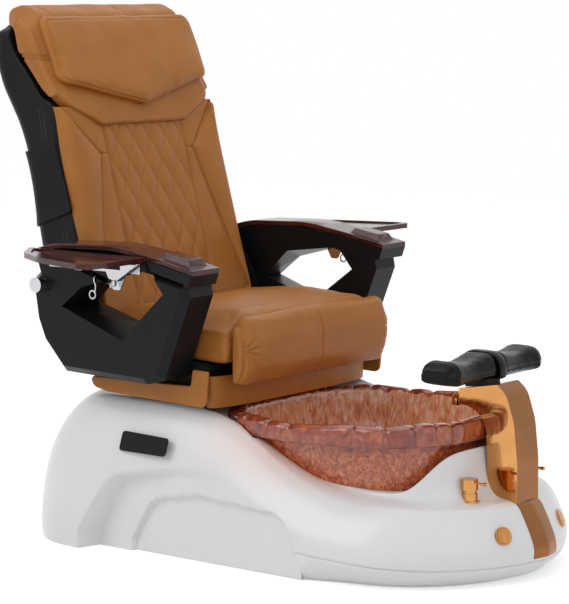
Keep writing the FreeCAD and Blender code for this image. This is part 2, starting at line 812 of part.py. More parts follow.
def make_jet_impeller():
    centre = jet_centre()
    start = Vec(centre.x, centre.y - 21.0, centre.z)
    hub = rod(start, start + Vec(0, 20.0, 0), 7.0, 10)
    blades = []
    for i in range(5):
        blade = block(centre.x + 5.0, centre.x + jet_radius - 19.5, start.y + 3.0, start.y + 17.0,
                      centre.z - 1.2, centre.z + 1.2)
        blade.rotate(centre, Vec(0, 1, 0), 72.0 * i)
        blades.append(blade)
    wheel = fused(hub, *blades)
    return tilted_with_wall(wheel.cut(rod(start - Vec(0, 5.0, 0), start + Vec(0, 30.0, 0), 3.0 + shaft_gap)))


# Arch, foot cushion and the fittings on the deck

def arch_outline(inset=0.0):
    return [
        (arch_rear_x + inset, deck_height - 30.0, 0),
        (arch_rear_x - 11.0 + inset, arch_arm_under_z + inset, 66.0 - inset),
        (arch_arm_rear_x + inset, arch_arm_under_z - 1.0 + inset, 2.0),
        (arch_arm_rear_x + inset, arch_top_z - 18.0 - inset, 3.0),
        (arch_front_x - 50.0 - inset / 2, arch_top_z - inset, 6.0),
        (arch_front_x - 11.0 - inset, arch_top_z - 49.0, 110.0),
        (arch_front_x - inset, deck_height - 30.0, 0),
    ]


def make_arch():
    half = arch_width / 2
    body = side_slab(arch_outline(), -half, half)
    hollow = side_slab(arch_outline(arch_wall), -half + arch_wall, half - arch_wall)
    return largest(body.cut(hollow).cut(outer_form))


def make_cushion_bracket():
    """Folded plate on the arch's arm that carries the foot cushion."""
    plate = block(foot_cushion_x - 34.0, foot_cushion_x + 30.0, -150.0, 150.0,
                  foot_cushion_under_z - gap - sheet, foot_cushion_under_z - gap)
    saddle = side_slab([(arch_arm_rear_x + 6.0, arch_top_z - 16.0, 0), (foot_cushion_x + 30.0, arch_top_z - 7.0, 0),
                        (foot_cushion_x + 30.0, foot_cushion_under_z - gap - sheet, 0),
                        (arch_arm_rear_x + 6.0, foot_cushion_under_z - gap - sheet, 0)], -30.0, 30.0)
    return fused(plate, saddle).cut(side_slab(arch_outline(), -arch_width, arch_width))


def cushion_height(share):
    """Crown of the foot cushion along its length: raised ends and middle, two hollows for the calves."""
    hollow = 0.5 - 0.5 * math.cos(2 * math.pi * share)
    return foot_cushion_height * (1.0 - 0.20 * hollow)


def foot_cushion_section(y, grow=0.0):
    share = abs(y) / (foot_cushion_length / 2)
    end = eased(share, 0.86, 1.0)
    height = cushion_height(share) * (1 - 0.42 * end) + 2 * grow
    half = foot_cushion_width / 2 * (1 - 0.10 * math.sin(math.pi * share) ** 2) * (1 - 0.22 * end) + grow
    low = foot_cushion_under_z - grow + 4.0 * end
    round_top = min(half * 0.62, height * 0.62)
    corners = [
        (foot_cushion_x - half, low, 8.0),
        (foot_cushion_x + half, low, 8.0),
        (foot_cushion_x + half, low + height, round_top),
        (foot_cushion_x - half, low + height, round_top),
    ]
    return rounded_wire(corners, lambda a, b: Vec(a, y, b), chords=3)


def make_foot_cushion():
    half = foot_cushion_length / 2
    shares = (-1.0, -0.93, -0.75, -0.5, -0.25, 0.0, 0.25, 0.5, 0.75, 0.93, 1.0)
    return faceted([foot_cushion_section(half * share) for share in shares])


def make_foot_strap():
    reach = strap_width / 2
    band = faceted([foot_cushion_section(y, 3.0) for y in (-reach, reach)])
    slot = block(foot_cushion_x - 40.0, foot_cushion_x + 36.0, -20.0, 20.0, 0.0, foot_cushion_under_z)
    inner = faceted([foot_cushion_section(y, 1.0) for y in (-reach - 2.0, reach + 2.0)])
    return largest(band.cut(inner).cut(slot))


def valve_centre(side):
    return Vec(valve_x, side * valve_y, 0)


def make_valve_body(side):
    centre = valve_centre(side)
    flange = rod(centre + UP * (deck_height - 20.0), centre + UP * (deck_height + 6.0), valve_radius + 4.0, round_sides)
    waist = rod(centre + UP * (deck_height + 6.0), centre + UP * (valve_split_z - 8.0), valve_radius - 1.0, round_sides)
    collar = rod(centre + UP * (valve_split_z - 8.0), centre + UP * (valve_split_z - gap), valve_radius - 3.0,
                 round_sides)
    spindle = rod(centre + UP * (valve_split_z - gap), centre + UP * (valve_top_z - 6.0), 6.0)
    above = fused(flange, waist, collar, spindle).cut(outer_form)
    tail = rod(centre + UP * (deck_height - 40.0), centre + UP * (deck_height + 1.0), valve_radius - 7.0, 8)
    return fused(largest(above), tail)


def make_valve_handle(side):
    centre = valve_centre(side)
    cap = rod(centre + UP * valve_split_z, centre + UP * valve_top_z, valve_radius, round_sides)
    bore = rod(centre + UP * (valve_split_z - 5.0), centre + UP * (valve_top_z - 5.0), 6.0 + shaft_gap)
    lever_z = (valve_split_z + valve_top_z) / 2 + 4.0
    tip = centre + Vec(lever_reach, 0, lever_z)
    lever = rod(centre + Vec(valve_radius - 3.0, 0, lever_z), tip, 3.0, 8)
    knob = rod(tip - Vec(6.0, 0, 0), tip + Vec(2.0, 0, 0), 4.5, 10)
    return fused(cap, lever, knob).cut(bore)


def make_spout():
    """Filler spout under the arch's arm, turned down over the bowl in mitred bends."""
    z = arch_arm_under_z + 20.0
    start = Vec(arch_arm_rear_x - gap, 0, z)
    flange = rod(start - Vec(5.0, 0, 0), start, 14.0, 12)
    bend = start - Vec(24.0, 0, 0)
    nose = bend - Vec(14.0, 0, 14.0)
    neck = rod(start, bend - Vec(3.5, 0, 0), 9.0, 12)
    slope = rod(bend, nose, 9.0, 12)
    nozzle = rod(nose + UP * 3.5, nose - UP * 18.0, 9.0, 12)
    drop = rod(nose - UP * 2.0, nose - UP * 30.0, 6.0, 12)
    return fused(neck, flange, slope, nozzle).cut(drop)


# Pedestal, rails and seat frame

def make_pedestal():
    """Black box of the pedestal: it stands on the frame's posts and comes up through the base."""
    hollow = block(pedestal_rear_x + 8.0, pedestal_front_x - 8.0, -pedestal_half + 8.0, pedestal_half - 8.0,
                   pedestal_low_z + 6.0, pedestal_top_z - 6.0)
    corners = [(x, y, 12.0) for x, y in ((pedestal_rear_x, -pedestal_half), (pedestal_front_x, -pedestal_half),
                                         (pedestal_front_x, pedestal_half), (pedestal_rear_x, pedestal_half))]
    floor_opening = block(post_rear_x + frame_tube + 8.0, post_front_x - 8.0, -post_y + 24.0, post_y - 24.0,
                          pedestal_low_z - 1.0, pedestal_low_z + 7.0)
    return flat_slab(corners, pedestal_low_z, pedestal_top_z).cut(hollow).cut(floor_opening)


def make_slide_rails():
    rail = []
    for side in (-1, 1):
        y = side * rail_y
        low = pedestal_top_z
        bar = block(pedestal_rear_x + 8.0, pedestal_front_x - 8.0, y - rail_width / 2, y + rail_width / 2, low,
                    low + rail_height)
        groove = block(pedestal_rear_x, pedestal_front_x, y - 5.0, y + 5.0, low + 4.0, low + rail_height + 1.0)
        rail.append(bar.cut(groove))
    return Part.makeCompound(rail)


def make_seat_frame():
    """Black pan under the seat, with cheeks for the recline hinge at its rear."""
    low, high = frame_under_z, frame_top_z
    outline = [(frame_rear_x, low, 0), (frame_front_x - 16.0, low, 10.0), (frame_front_x, high, 12.0),
               (frame_rear_x, high, 0)]
    pan = side_slab(outline, -frame_half, frame_half)
    hollow = block(frame_rear_x + 12.0, frame_front_x - 34.0, -frame_half + 10.0, frame_half - 10.0, low + 8.0,
                   high + 10.0)
    deck = block(frame_rear_x + 12.0, frame_front_x - 34.0, -frame_half + 10.0, frame_half - 10.0, high - 6.0, high)
    cheeks = []
    for side in (-1, 1):
        y0 = side * (back_half - 14.0)
        cheek = side_slab([(recline_x - 40.0, low + 20.0, 6.0), (recline_x + 60.0, low + 20.0, 0),
                           (recline_x + 60.0, high, 0), (recline_x + ear_reach - 1.0, high, 0),
                           (recline_x + ear_reach - 3.0, recline_z + ear_reach - 3.0, 14.0),
                           (recline_x - 28.0, recline_z + ear_reach - 1.0, 20.0)],
                          min(y0, y0 + side * 8), max(y0, y0 + side * 8))
        pin = rod(Vec(recline_x, y0, recline_z), Vec(recline_x, y0 - side * 24.0, recline_z), recline_pin)
        cheeks += [cheek, pin]
    notch = block(frame_rear_x - 10.0, recline_x + 38.0, -back_half + 13.0, back_half - 13.0, low - 1.0, high + 1.0)
    top = pedestal_top_z + rail_height
    runners = [block(pedestal_rear_x + 20.0, pedestal_front_x - 90.0, side * rail_y - 4.0, side * rail_y + 4.0,
                     top - 3.0, low + 1.0) for side in (-1, 1)]
    return fused(pan.cut(hollow), deck).cut(notch).fuse(cheeks + runners).removeSplitter()


# Seat cushion, front roll, skirt and valances

def seat_section(y):
    """Section of the seat cushion in a plane along X: boxed sides, crowned top, drawn in near its sides.

    Its lower rear edge is cut back from the recline ears."""
    share = abs(y) / cushion_half
    edge = eased(share, 0.72, 1.0)
    top = cushion_crown_z - (cushion_crown_z - cushion_edge_z) * edge
    pull = 10.0 * edge
    ear_x = recline_x + ear_reach + 2 * moving_gap
    ear_z = recline_z + ear_reach + 2 * moving_gap
    corners = [
        (cushion_rear_x + pull, ear_z + 10.0, 0),
        (ear_x, ear_z, 0),
        (ear_x, cushion_under_z, 0),
        (cushion_seam_x - pull * 0.4, cushion_under_z, 6.0),
        (cushion_seam_x - pull * 0.4, top - 8.0, 16.0),
        ((cushion_rear_x + cushion_seam_x) / 2, top + 3.0, 800.0),
        (cushion_rear_x + pull, top - 16.0, 20.0),
    ]
    return rounded_wire(corners, lambda a, b: Vec(a, y, b), chords=4)


def make_seat_cushion():
    shares = (-1.0, -0.96, -0.82, -0.4, 0.0, 0.4, 0.82, 0.96, 1.0)
    return faceted([seat_section(cushion_half * share) for share in shares])


def roll_section(y):
    """Section of the waterfall front: fullest above its middle, thinner and lower at its ends."""
    share = abs(y) / roll_half
    end = eased(share, 0.86, 1.0)
    rear = cushion_seam_x + gap
    depth = (roll_front_x - rear) * (1 - 0.5 * end)
    top = cushion_crown_z - 2.0 - 34.0 * end - 4.0 * share
    low = roll_under_z + 6.0 * end
    corners = [
        (rear, low + 2.0, 0),
        (rear + 0.55 * depth, low, 8.0),
        (rear + 0.92 * depth, low + 44.0, 50.0),
        (rear + depth, top - 62.0, 60.0),
        (rear + 0.5 * depth, top - 4.0, 12.0),
        (rear, top, 0),
    ]
    return rounded_wire(corners, lambda a, b: Vec(a, y, b), chords=3)


def make_seat_roll():
    shares = (-1.0, -0.95, -0.86, -0.4, -0.02, 0.0, 0.02, 0.4, 0.86, 0.95, 1.0)
    return faceted([roll_section(roll_half * share) for share in shares])


def make_skirt():
    """Curved apron under the roll, its ends swept back."""
    rear = frame_front_x + gap
    front = rear + 34.0
    t = skirt_thickness
    outline = [
        (rear, -skirt_half, 4.0),
        (front - 6.0, -skirt_half + 46.0, 60.0),
        (front, 0.0, 2000.0),
        (front - 6.0, skirt_half - 46.0, 60.0),
        (rear, skirt_half, 4.0),
        (rear - 4.0, skirt_half, 0),
        (front - 6.0 - t, skirt_half - 52.0, 50.0),
        (front - 6.0 - t, -skirt_half + 52.0, 50.0),
        (rear - 4.0, -skirt_half, 0),
    ]
    panel = flat_slab(outline, skirt_under_z, frame_top_z - 30.0)
    behind = block(frame_rear_x, frame_front_x + gap, -400.0, 400.0, frame_under_z - 1.0, frame_top_z + 1.0)
    ties = [block(frame_front_x + gap, front - 8.0, y - 20.0, y + 20.0, frame_under_z + 6.0, frame_top_z - 34.0)
            for y in (-180.0, 180.0)]
    return fused(largest(panel.cut(behind)), *ties)


def make_side_valance():
    """Padded side panel below the armrest, raised at its front end ahead of the armrest's foot."""
    low = 378.0
    outline = [
        (-352.0, 412.0, 8.0),
        (-346.0, 388.0, 22.0),
        (-300.0, low, 24.0),
        (14.0, low - 9.0, 18.0),
        (22.0, 457.0, 5.0),
        (-26.0, 458.0, 5.0),
        (-32.0, 418.0, 8.0),
    ]
    panel = side_slab(outline, -valance_y - valance_thickness, -valance_y)
    stays = [block(x - 14.0, x + 14.0, -valance_y, -frame_half - gap, frame_under_z + 4.0, 414.0)
             for x in (-290.0, -60.0)]
    return fused(panel, *stays)


def make_arm_pivots():
    """Steel brackets on the seat frame that carry the armrests' pins."""
    y_in, y_out = -frame_half - gap, -arm_inner_y + moving_gap
    y_plate = -frame_half - gap - 8.0
    plate = side_slab([(arm_pivot_x - 22.0, arm_pivot_z + 22.0, 20.0), (arm_pivot_x + 26.0, arm_pivot_z + 22.0, 20.0),
                       (-300.0, 430.0, 10.0), (-300.0, 424.0, 0), (-366.0, 424.0, 0), (-366.0, 460.0, 20.0)],
                      y_plate, y_in)
    pin = rod(Vec(arm_pivot_x, y_in, arm_pivot_z), Vec(arm_pivot_x, -arm_inner_y - 60.0, arm_pivot_z), arm_pin_radius)
    boss = rod(Vec(arm_pivot_x, y_in, arm_pivot_z), Vec(arm_pivot_x, y_out, arm_pivot_z), 16.0, 12)
    return both(fused(plate, boss, pin))


# Backrest

def back_line(z):
    """X of the backrest's front face at a height."""
    return back_foot_x + (back_neck_x - back_foot_x) * (z - back_foot_z) / (back_neck_z - back_foot_z)


def shell_section(y):
    """Side outline of the black back shell; its rear bulges between its sides."""
    side = eased(abs(y), 170.0, shell_half) * shell_bulge
    depth = back_thickness - 30.0
    corners = [
        (back_line(520.0) - depth - 30.0, 500.0, 10.0),
        (back_line(540.0) - depth - 6.0, 530.0, 10.0),
        (back_line(933.0) - depth + 20.0, 933.0, 600.0),
        (back_line(1060.0) - 20.0, 1064.0, 30.0),
        (-558.0, 1078.0, 30.0),
        (-664.0, 1204.0, 60.0),
        (-680.0, 1268.0, 20.0),
        (-728.0 + side * 0.6, 1262.0, 30.0),
        (-752.0 + side, 1180.0, 90.0),
        (-716.0 + side, 1065.0, 300.0),
        (-652.0 + side, 880.0, 300.0),
        (-608.0 + side, 620.0, 200.0),
        (-540.0 + side * 0.5, 500.0, 40.0),
    ]
    return rounded_wire(corners, lambda a, b: Vec(a, y, b), chords=3)


def make_back_shell():
    ys = (-shell_half, -252.0, -150.0, 150.0, 252.0, shell_half)
    body = faceted([shell_section(y) for y in ys])
    inner = [
        (back_line(560.0) - 10.0, 508.0, 2.0),
        (back_line(1000.0) - 30.0, 1010.0, 20.0),
        (-600.0, 1070.0, 20.0),
        (-676.0, 1180.0, 8.0),
        (-700.0, 1180.0, 8.0),
        (-672.0, 1065.0, 100.0),
        (-606.0, 880.0, 100.0),
        (-566.0, 620.0, 60.0),
        (-520.0, 512.0, 20.0),
    ]
    hollow = side_slab(inner, -shell_half + 14.0, shell_half - 14.0)
    mouth = side_slab([(back_line(560.0) + 60.0, 560.0, 0), (back_line(1000.0) + 60.0, 1000.0, 0),
                       (back_line(1000.0) - 40.0, 1000.0, 0), (back_line(560.0) - 40.0, 560.0, 0)],
                      -shell_half + 14.0, shell_half - 14.0)
    return largest(body.cut(hollow).cut(mouth).cut(cushion_envelope()))


def cushion_envelope():
    """Room for the back cushion and the hood, which the shell is cut back from."""
    front = [
        (back_line(470.0) - back_thickness + 20.0, 470.0, 0),
        (back_line(1030.0) - back_thickness + 20.0, 1030.0, 0),
        (back_line(1100.0) + 80.0, 1100.0, 0),
        (back_line(470.0) + 80.0, 470.0, 0),
    ]
    return side_slab(front, -320.0, 320.0).fuse(side_slab(hood_outline(gap), -320.0, 320.0))


def back_section(y):
    """Section of the back cushion: side bolsters stand ahead of the quilted middle panel."""
    share = abs(y) / back_half
    bolster = math.exp(-((share - 0.74) / 0.20) ** 2) * 16.0
    end = eased(share, 0.84, 1.0)
    ahead = bolster - 14.0 * end - 4.0
    rear = -back_thickness + 20.5
    low, high = back_foot_z + 4.0, back_neck_z - 2.0
    corners = [
        (back_line(low) + rear, low, 4.0),
        (back_line(low) + ahead - 6.0, low, 14.0),
        (back_line(low + 60.0) + ahead + 3.0, low + 60.0, 200.0),
        (back_line(high - 60.0) + ahead + 3.0, high - 60.0, 300.0),
        (back_line(high) + ahead - 8.0, high, 10.0),
        (back_line(high) + rear, high, 4.0),
    ]
    return rounded_wire(corners, lambda a, b: Vec(a, y, b), chords=3)


def make_back_cushion():
    shares = (-1.0, -0.95, -0.84, -0.66, -0.45, 0.0, 0.45, 0.66, 0.84, 0.95, 1.0)
    cushion = faceted([back_section(back_half * share) for share in shares])
    return largest(cushion.cut(side_slab(hood_outline(gap), -320.0, 320.0)))


def hood_outline(grow=0.0):
    """Side outline of the padded hood over the top of the back."""
    return [
        (hood_face_low_x + grow, hood_low_z - grow, 10.0),
        (hood_face_top_x + grow, hood_top_z - 18.0 + grow, 34.0),
        (-652.0, hood_top_z + 2.0 + grow, 60.0),
        (-704.0 - grow, hood_top_z - 14.0 + grow, 20.0),
        (-706.0 - grow, hood_top_z - 54.0, 10.0),
        (-672.0 - grow, hood_top_z - 64.0, 20.0),
        (-658.0 - grow, 1198.0, 40.0),
        (-556.0 - grow, 1076.0 - grow, 20.0),
        (-526.0 - grow, hood_low_z - grow, 8.0),
    ]


def hood_face(z):
    """X of the hood's straight front face at a height."""
    share = (z - hood_low_z) / (hood_top_z - 18.0 - hood_low_z)
    return hood_face_low_x + (hood_face_top_x - hood_face_low_x) * share


def make_hood():
    half = back_half
    body = side_slab(hood_outline(), -half, half)
    rise = back_neck_z - hood_low_z
    for side in (-1, 1):
        chevron = front_slab([(side * hood_corner_y, hood_low_z, 0), (side * (half + 20.0), hood_low_z + rise * 1.16, 0),
                              (side * (half + 20.0), hood_low_z - 40.0, 0), (side * hood_corner_y, hood_low_z - 40.0, 0)],
                             -720.0, -440.0)
        body = body.cut(chevron)
        rounding = front_slab([(side * (half - 26.0), hood_top_z + 30.0, 0), (side * (half - 26.0), hood_top_z + 4.0, 0),
                               (side * (half + 1.0), hood_top_z - 30.0, 0), (side * (half + 30.0), hood_top_z - 30.0, 0),
                               (side * (half + 30.0), hood_top_z + 30.0, 0)], -760.0, -440.0)
        body = body.cut(rounding)
    return largest(body)


def pillow_wire(inset, ahead_low, ahead_top):
    """Pentagon of the pillow on a plane that leans with the hood."""
    def place(y, z):
        lean = (z - pillow_tip_z) / (pillow_top_z - pillow_tip_z)
        return Vec(hood_face(z) + ahead_low + (ahead_top - ahead_low) * lean, y, z)
    corners = [
        (-pillow_half + inset, pillow_top_z - inset, 22.0),
        (-pillow_half + inset, pillow_low_z + inset * 0.4, 24.0),
        (0.0, pillow_tip_z + inset, 20.0),
        (pillow_half - inset, pillow_low_z + inset * 0.4, 24.0),
        (pillow_half - inset, pillow_top_z - inset, 22.0),
    ]
    return rounded_wire(corners, place, chords=4)


def make_pillow():
    layers = [(14.0, 1.0, 1.0), (1.0, 14.0, 6.0), (0.0, 26.0, 10.0), (5.0, 42.0, 17.0), (30.0, 54.0, 23.0)]
    return faceted([pillow_wire(*layer) for layer in layers])


def make_back_band():
    """Sewn bands of black cover on the shell's two sides at mid height."""
    lower, upper = 762.0, 958.0
    zone = side_slab([(-760.0, lower - 40.0, 0), (-480.0, lower + 48.0, 0), (-480.0, upper + 26.0, 0),
                      (-760.0, upper - 30.0, 0)], -340.0, 340.0)
    skin = Part.Face(shell_section(-shell_half)).extrude(Vec(0, -4.0, 0)).common(zone)
    skin.translate(Vec(0, -0.1, 0))
    return both(skin)


def make_back_frame():
    """Tubular frame inside the back, hung on the recline pins."""
    parts = []
    for side in (-1, 1):
        y = side * 244.0
        foot = Vec(recline_x - 62.0, y, recline_z + 60.0)
        neck = Vec(back_line(1000.0) - 66.0, y, 1000.0)
        parts.append(rod(foot, neck, 11.0, 8))
        ear_y = side * (back_half - 38.0)
        behind = back_line(recline_z + 72.0) - back_thickness + 18.0
        ear = side_slab([(recline_x - 20.0, recline_z - 18.0, 16.0), (recline_x + 18.0, recline_z - 18.0, 16.0),
                         (recline_x + 18.0, recline_z + 16.0, 12.0), (recline_x - 46.0, back_foot_z - 2.0, 4.0),
                         (behind, recline_z + 72.0, 4.0), (behind - 24.0, recline_z + 72.0, 8.0)],
                        min(ear_y, ear_y + side * 9.0), max(ear_y, ear_y + side * 9.0))
        bore = rod(Vec(recline_x, side * 200.0, recline_z), Vec(recline_x, side * 300.0, recline_z),
                   recline_pin + shaft_gap)
        parts.append(ear.cut(bore))
    for z in (600.0, 960.0):
        x = back_line(z) - 66.0 - 4.0
        parts.append(rod(Vec(x, -244.0, z), Vec(x, 244.0, z), 9.0, 8))
    return fused(*parts)


def rail_point(y, z):
    return Vec(back_line(z) - 92.0, y, z)


def make_massage_rails():
    """Two guide rods with end plates for the massage carriage."""
    bars = [rod(rail_point(side * massage_rail_y, 585.0), rail_point(side * massage_rail_y, 975.0), 7.0, 12)
            for side in (-1, 1)]
    ends = []
    for z in (585.0, 975.0):
        centre = rail_point(0.0, z)
        ends.append(block(centre.x - 10.0, centre.x + 10.0, -massage_rail_y - 16.0, massage_rail_y + 16.0,
                          z - 5.0, z + 5.0))
    return fused(*bars, *ends)


def back_axis():
    """Unit vector up the leaning back."""
    along = rail_point(0.0, 975.0) - rail_point(0.0, 585.0)
    along.normalize()
    return along


def make_massage_carriage():
    along = back_axis()
    parts = []
    for side in (-1, 1):
        centre = rail_point(side * massage_rail_y, carriage_z)
        parts.append(rod(centre - along * 40.0, centre + along * 40.0, 15.0, 8))
    mid = rail_point(0.0, carriage_z)
    bridge = block(mid.x - 9.0, mid.x + 9.0, -massage_rail_y, massage_rail_y, mid.z - 28.0, mid.z + 28.0)
    motor = rod(mid + Vec(-2.0, -44.0, 0), mid + Vec(-2.0, 44.0, 0), 21.0, 12)
    carriage = fused(parts[0], parts[1], bridge, motor)
    for side in (-1, 1):
        centre = rail_point(side * massage_rail_y, carriage_z)
        carriage = carriage.cut(rod(centre - along * 60.0, centre + along * 60.0, 7.0 + moving_gap / 2, 12))
    axle = rod(mid + Vec(axle_ahead, -78.0, 0), mid + Vec(axle_ahead, 78.0, 0), 4.0)
    arms = [block(mid.x, mid.x + axle_ahead + 6.0, y - 4.0, y + 4.0, mid.z - 8.0, mid.z + 8.0)
            for y in (-20.0, 20.0)]
    return fused(carriage, axle, *arms)


def make_massage_rollers():
    """Kneading rollers on the carriage's axle."""
    mid = rail_point(0.0, carriage_z)
    rollers = []
    for y in (-60.0, 60.0):
        start = mid + Vec(axle_ahead, y - 12.0, 0)
        wheel = rod(start, start + Vec(0, 24.0, 0), roller_radius, round_sides)
        rollers.append(wheel.cut(rod(start - Vec(0, 5.0, 0), start + Vec(0, 34.0, 0), 4.0 + shaft_gap)))
    return rollers


def make_recline_actuator():
    """Electric actuator under the seat that tilts the back; its rod ends short of the back frame."""
    start = Vec(-90.0, 0.0, 425.0)
    end = Vec(-300.0, 0.0, 438.0)
    along = end - start
    along.normalize()
    body = rod(start, start + along * 150.0, 20.0, 10)
    rod_end = rod(start + along * 150.0 - along, end, 9.0, 8)
    motor = rod(start + along * 24.0 + Vec(0, 10.0, 0), start + along * 24.0 + Vec(0, 84.0, 0), 17.0, 10)
    return fused(body, rod_end, motor)


# Armrests

def inset_outline(corners, distance):
    """The same corners moved inwards along their bisectors; corners run anticlockwise."""
    moved = []
    count = len(corners)
    for i, (a, b, radius) in enumerate(corners):
        before = corners[i - 1]
        after = corners[(i + 1) % count]
        first = Vec(a - before[0], b - before[1], 0)
        second = Vec(after[0] - a, after[1] - b, 0)
        first.normalize()
        second.normalize()
        n1 = Vec(-first.y, first.x, 0)
        n2 = Vec(-second.y, second.x, 0)
        bisector = n1 + n2
        bisector.normalize()
        length = distance / max(bisector.dot(n1), 0.3)
        moved.append((a + bisector.x * length, b + bisector.y * length, max(radius - distance, 0.0)))
    return moved


arm_outline = [
    (-478.0, 722.0, 8.0),
    (-459.0, 668.0, 0.0),
    (-494.0, 640.0, 4.0),
    (-476.0, 612.0, 0.0),
    (-466.0, 551.0, 0.0),
    (-443.0, 498.0, 0.0),
    (-378.0, 429.0, 14.0),
    (-115.0, 422.0, 14.0),
    (-62.0, 437.0, 10.0),
    (18.0, 639.0, 4.0),
    (12.0, 672.0, 0.0),
    (-90.0, 694.0, 0.0),
    (-104.0, 722.0, 4.0),
    (-250.0, 735.0, 700.0),
    (-400.0, 730.0, 300.0),
]
arm_opening = [
    (-375.0, 590.0, 6.0),
    (-182.0, 523.0, 8.0),
    (-51.0, 643.0, 8.0),
    (-85.0, 686.0, 6.0),
    (-112.0, 693.0, 6.0),
    (-309.0, 642.0, 60.0),
]
arm_opening_inner = [
    (-348.0, 596.0, 6.0),
    (-178.0, 548.0, 8.0),
    (-61.0, 634.0, 8.0),
    (-99.0, 680.0, 6.0),
    (-124.0, 686.0, 6.0),
    (-272.0, 668.0, 60.0),
]


def arm_wire(corners, y):
    return rounded_wire(corners, lambda a, b: Vec(a, y, b))


def make_armrest_panel():
    """Faceted side panel with its slanted diamond opening."""
    y_face = -arm_outer_y
    y_facet = -arm_outer_y + arm_chamfer
    sharp = [(a, b, 0.0) for a, b, _ in arm_outline]
    slab = side_slab(sharp, y_facet, -arm_inner_y)
    face = inset_outline(sharp, arm_chamfer * 0.8)
    facet = faceted([arm_wire(sharp, y_facet), arm_wire(face, y_face)])
    panel = slab.fuse(facet)
    mouth = faceted([arm_wire([(a, b, 0.0) for a, b, _ in arm_opening], y_face - 2.0),
                           arm_wire([(a, b, 0.0) for a, b, _ in arm_opening_inner], -arm_inner_y + 2.0)])
    panel = panel.cut(mouth)
    socket = rod(Vec(arm_pivot_x, -arm_inner_y + 5.0, arm_pivot_z), Vec(arm_pivot_x, -arm_inner_y - 61.0, arm_pivot_z),
                 arm_pin_radius + shaft_gap)
    knob_bore = rod(Vec(arm_pivot_x, y_face - 5.0, arm_pivot_z), Vec(arm_pivot_x, y_face + 22.0, arm_pivot_z),
                    6.0 + shaft_gap)
    return largest(panel.cut(socket).cut(knob_bore).cut(above_wood_line()))


def above_wood_line():
    """Everything above the underside of the wood-effect top, less a gap."""
    corners = [(a, b, r) for a, b, r in wood_line(-wood_thickness - gap)]
    return side_slab(corners + [(60.0, 690.0, 0), (60.0, 900.0, 0), (-600.0, 900.0, 0), (-600.0, 719.0, 0)],
                     -arm_outer_y - 5.0, -arm_inner_y + 5.0)


def wood_line(lift):
    """Corners along the arched top of the armrest, from rear to front, raised by lift."""
    return [
        (-488.0, 719.0 + lift, 0),
        (-400.0, 742.0 + lift, 250.0),
        (-210.0, 749.0 + lift, 500.0),
        (-60.0, 725.0 + lift, 300.0),
        (38.0, 704.0 + lift, 0),
    ]


def make_armrest_top():
    """Wood-effect top with the faceted control pod at its front."""
    upper = wood_line(0.0)
    lower = [(a, b, r) for a, b, r in reversed(wood_line(-wood_thickness))]
    top = side_slab(upper + lower, -arm_outer_y + 1.0, -arm_inner_y + 1.0)
    low = [(-84.0, -412.0), (24.0, -412.0), (24.0, -342.0), (-84.0, -342.0)]
    high = [(-70.0, -400.0), (6.0, -400.0), (6.0, -352.0), (-70.0, -352.0)]
    base = Part.makePolygon([Vec(x, y, 729.0 - 0.22 * (x + 84.0) - 8.0) for x, y in low + low[:1]])
    crown = Part.makePolygon([Vec(x, y, 741.0 - 0.16 * (x + 84.0)) for x, y in high + high[:1]])
    pod = faceted([base, crown])
    return largest(top.fuse(pod))


def make_armrest_cap():
    """Black front block under the end of the wood-effect top, undercut at its front."""
    envelope = side_slab([(-104.0 + gap, 800.0, 0), (-104.0 + gap, 690.0, 0), (-88.0, 689.0, 0), (26.0, 664.0, 3.0),
                          (40.0, 704.0, 2.0), (40.0, 800.0, 0)], -arm_outer_y, -arm_inner_y)
    sharp = [(a, b, 0.0) for a, b, _ in arm_outline]
    panel_room = side_slab(inset_outline(sharp, -gap), -arm_outer_y - 5.0, -arm_inner_y + 5.0)
    return largest(envelope.cut(above_wood_line()).cut(panel_room))


def make_lock_knob():
    face = -arm_outer_y - moving_gap
    start = Vec(arm_pivot_x, face, arm_pivot_z)
    out = Vec(0, -1, 0)
    collar = rod(start, start + out * 12.0, knob_radius - 3.0, round_sides)
    head = rod(start + out * 12.0, start + out * 26.0, knob_radius, round_sides)
    stem = rod(start, start - out * 20.0, 6.0)
    return fused(collar, head, stem)


# Trays with their folding supports

def tray_outline(inset=0.0):
    """Leaf outline of a tray at -Y: straight hinge side, bowed outer edge, square front."""
    return [
        (-96.0 - inset, -tray_edge_y - inset, 3.0),
        (-470.0 + inset * 2, -tray_edge_y - inset, 6.0),
        (-400.0 + inset, -tray_hinge_y - 88.0 + inset, 90.0),
        (-300.0, -592.0 + inset, 240.0),
        (-128.0, -tray_reach - 4.0 + inset, 30.0),
        (-96.0 - inset, -tray_reach + 8.0 + inset, 14.0),
    ]


def make_tray():
    low, high = tray_under_z, tray_under_z + tray_thickness
    plate = flat_slab([(a, b, 0.6 * r) for a, b, r in tray_outline(0.0)], low, high)
    dish = flat_slab([(a, b, 0.5 * r) for a, b, r in tray_outline(12.0)], high - 4.0, high + 5.0)
    knuckles = []
    for x in (-380.0, -150.0):
        knuckles.append(rod(Vec(x - 18.0, -tray_hinge_y, low), Vec(x + 18.0, -tray_hinge_y, low), 5.0, 12))
        knuckles.append(block(x - 18.0, x + 18.0, -tray_hinge_y - 24.0, -tray_hinge_y, low - 2.0, low))
    tray = fused(plate.cut(dish), *knuckles)
    for x in (-380.0, -150.0):
        tray = tray.cut(rod(Vec(x - 40.0, -tray_hinge_y, low), Vec(x + 40.0, -tray_hinge_y, low), 2.5 + shaft_gap))
        for gap_x in (x - 19.0 - 13.0, x + 19.0):
            tray = tray.cut(block(gap_x - 1.0, gap_x + 14.0, -tray_hinge_y - 7.0, -tray_hinge_y + 7.0,
                                  low - 7.0, low + 7.0))
    return largest(tray)


